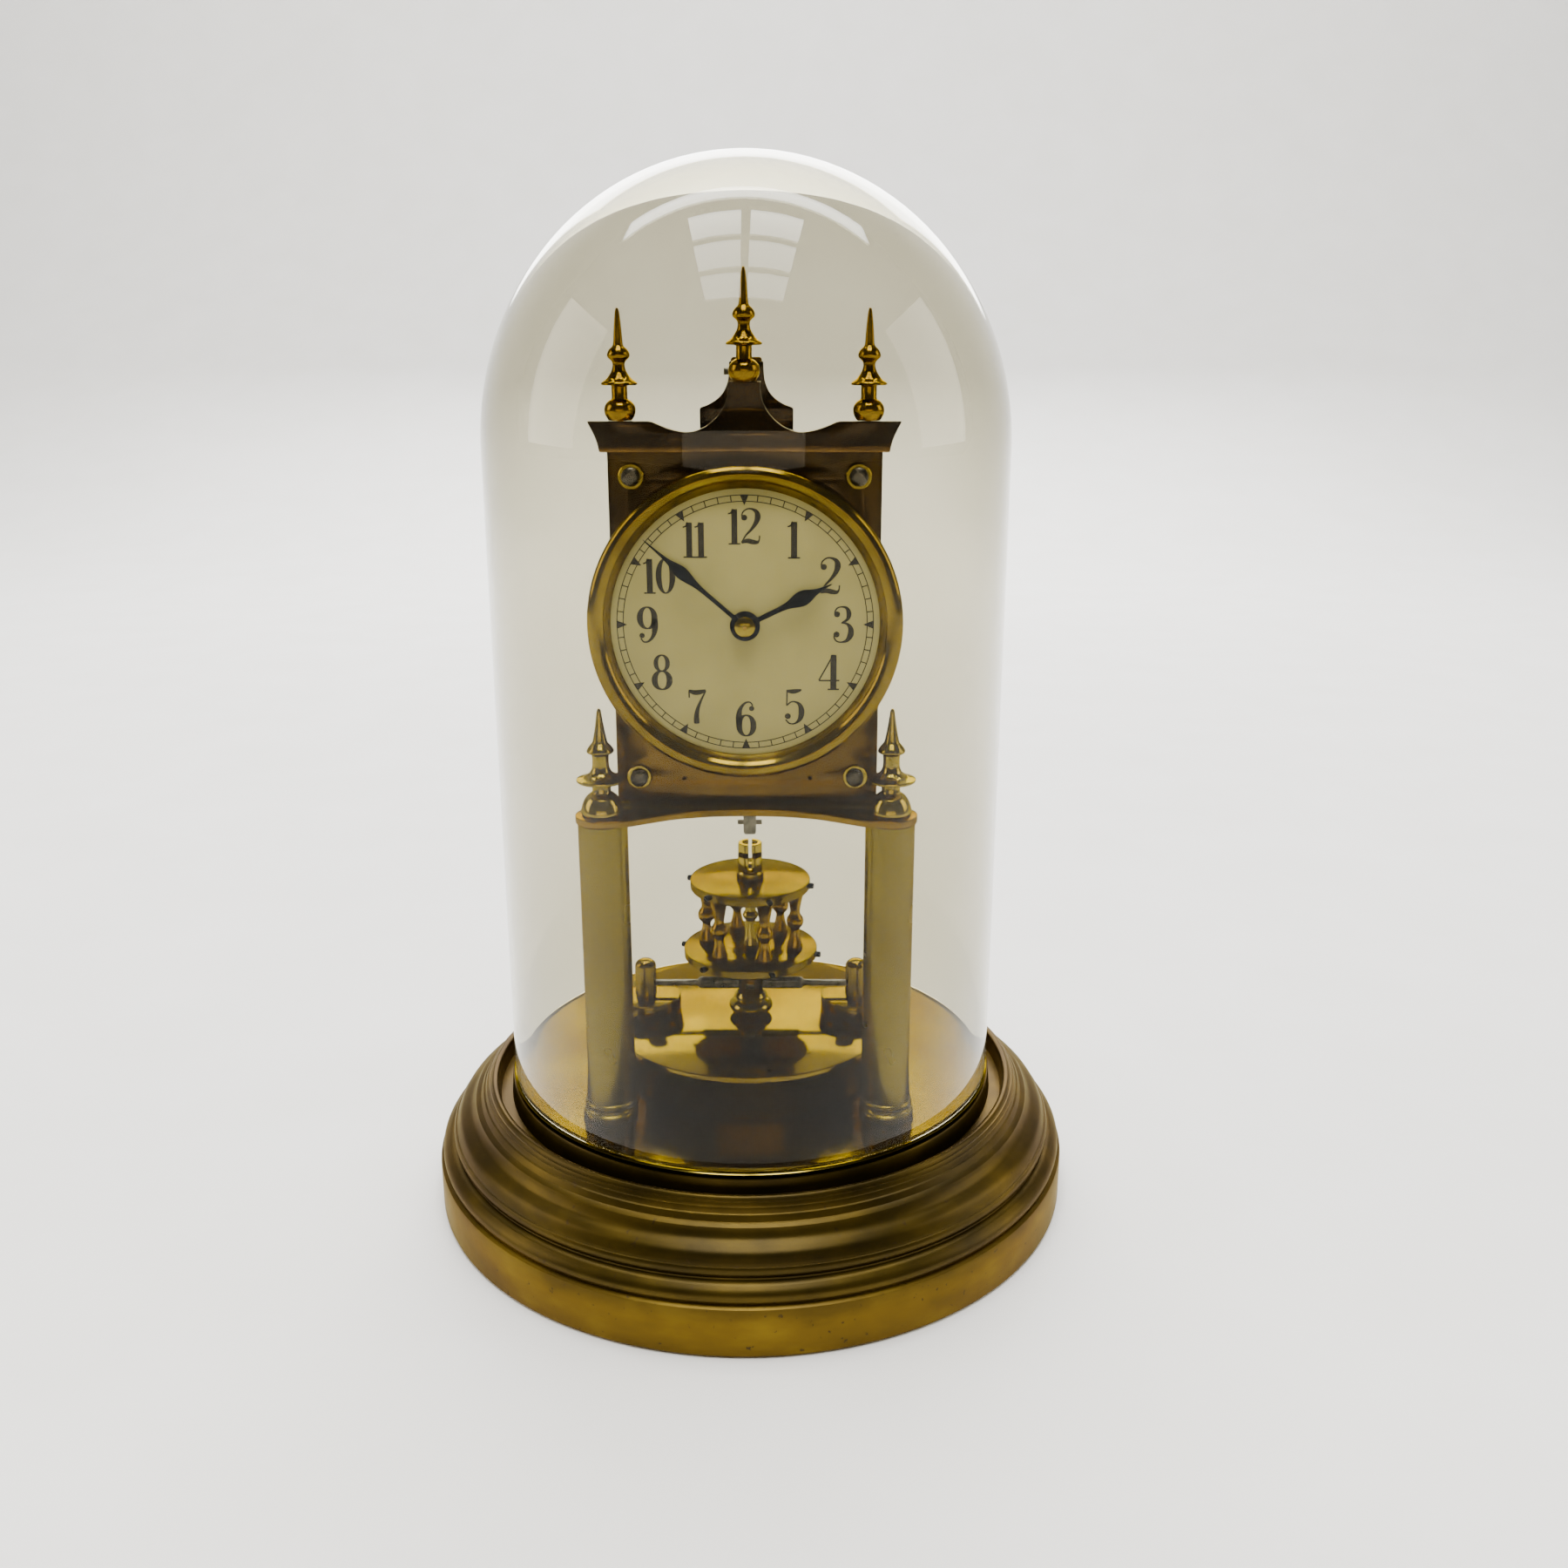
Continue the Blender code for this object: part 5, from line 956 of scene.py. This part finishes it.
for number in range(1, 7):
    x, y = centre("baluster_%d" % number)
    keep("turned_baluster_%d" % number, lathe(post, 40), spire_film, "pendulum", "baluster_%d" % number,
         at=(x, y, 0), slot_name="turned_brass")
    away = atan2(y, x)
    for level, rim, mid in (("lower", 21.18, (c0 + c1) / 2), ("upper", 18.86, (c2 + c3) / 2)):
        slotted = cut_slot(lathe(grub, 32), (0, 0, 1.5), (3, 0.3, 0.8), radians(40 * number))
        keep("crown_screw_%s_%d" % (level, number), slotted, blued, "pendulum",
             at=(rim * cos(away), rim * sin(away), mid), turn=(0, pi / 2, away))

# ---- regulator --------------------------------------------------------------
# A steel rod with a thread at each end and a fluted grip between; turning it
# moves the two brass weights in or out to slow the clock or bring it on.
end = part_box("regulator_rod")[1].x / MM


def fluted(a, r, h):
    """Fourteen shallow flutes on the grip."""
    return 0.13 * (cos(a * 14) - 1) if r > 1.6 and abs(h) < 15.4 else 0.0


grip = [(0, -end), (0.9, -end), (1.08, -end + 0.2)]
turns = 2 * int((end - 17.6) / 0.6)
grip += [(1.08 - 0.13 * (k % 2), -end + 0.4 + 0.3 * k) for k in range(turns)]
grip += [(1.08, -17.1), (1.5, -16.6), (1.87, -16.2), (1.87, -15.5), (1.87, -15.3), (1.87, 15.3),
         (1.87, 15.5), (1.87, 16.2), (1.5, 16.6), (1.08, 17.1)]
grip += [(1.08 - 0.13 * (k % 2), end - 0.4 - 0.3 * k) for k in reversed(range(turns))]
grip += [(1.08, end - 0.2), (0.9, end), (0, end)]
keep("fluted_regulator", lathe(grip, 84, ripple=fluted), arbor_steel, "regulator", "regulator_rod",
     at=(0, 0, rod_z), turn=ALONG_X, sharp=50, slot_name="clock_steel")
for side, s in (("left", -1), ("right", 1)):
    low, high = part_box("weight_" + side)
    zb, zt = low.z / MM, high.z / MM
    bob = [(0, zt), (0.8, zt - 0.05), (1.7, zt - 0.3), (2.5, zt - 0.75), (3.1, zt - 1.4), (3.38, zt - 2.2),
           (3.38, zb + 6.7), (3.5, zb + 6.45), (4.0, zb + 6.38), (10.5, zb + 6.38), (10.95, zb + 6.2),
           (11.18, zb + 5.8), (11.18, zb + 0.5), (11.0, zb + 0.1), (10.7, zb), (0, zb)]
    mesh = cut_slot(lathe(bob, 96), (-s * 1.6, 0, rod_z), (8.4, 2.5, 2.5))
    keep("turned_weight_" + side, mesh, disc_brass, side + "_weight", "weight_" + side,
         at=(centre("weight_" + side)[0], 0, 0), slot_name="polished_brass")

# ---- glass shade ------------------------------------------------------------
# Mouth blown glass, ground flat at its foot, with a slight grey cast and faint
# waves. It stands loose in the rebate of the base plate.
# Soda glass: clear, a shade grey where it is seen on edge, and light passes it to the clock.
blown_glass, tree = new_material("blown_dome_glass")
waves = mottling(tree, 30, 2.0, (1, 1, 0.5))
tint = colour_ramp(tree, mottling(tree, 70, 2.0), [(0.3, "CFCCBC"), (0.7, "D5D2C4")])
surface = add_node(tree, "ShaderNodeBsdfPrincipled",
                   {"Transmission Weight": 1.0, "IOR": 1.5, "Roughness": 0.0,
                    "Specular Tint": (0.2, 0.2, 0.2, 1.0)},
                   {"Base Color": tint, "Normal": bump(tree, waves, 0.02, 0.12)})
clear = add_node(tree, "ShaderNodeBsdfTransparent", {"Color": hex_colour("EFEEE8")})
path = add_node(tree, "ShaderNodeLightPath")
through = add_node(tree, "ShaderNodeMixShader", links={0: path.outputs["Is Shadow Ray"]})
tree.links.new(surface.outputs[0], through.inputs[1])
tree.links.new(clear.outputs[0], through.inputs[2])
add_node(tree, "ShaderNodeOutputMaterial", links={"Surface": through.outputs[0]})
low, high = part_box("glass_dome")
rr, foot, crown = high.x / MM - 0.05, low.z / MM, high.z / MM - 0.02
shoulder = crown - rr * 1.049
wall = 1.3
outside = [(rr - 0.6, foot), (rr - 0.1, foot + 0.3), (rr, foot + 1.0)]
outside += [(rr, foot + (shoulder - foot) * k / 8) for k in range(1, 8)]
outside += [(rr * cos(radians(d)), shoulder + (crown - shoulder) * sin(radians(d))) for d in range(0, 90, 3)]
outside += [(0, crown)]
rise = crown - shoulder - wall
inside = [(0, crown - wall)]
inside += [((rr - wall) * cos(radians(d)), shoulder + rise * sin(radians(d))) for d in range(87, -1, -3)]
inside += [(rr - wall, foot + (shoulder - foot) * k / 8) for k in range(7, 0, -1)]
inside += [(rr - wall, foot + 1.0), (rr - wall + 0.2, foot + 0.2), (rr - wall + 0.5, foot)]
keep("blown_shade", lathe(outside + inside, 160, closed=True), blown_glass, "glass_shade", "glass_dome",
     sharp=60, slot_name="shade_glass")
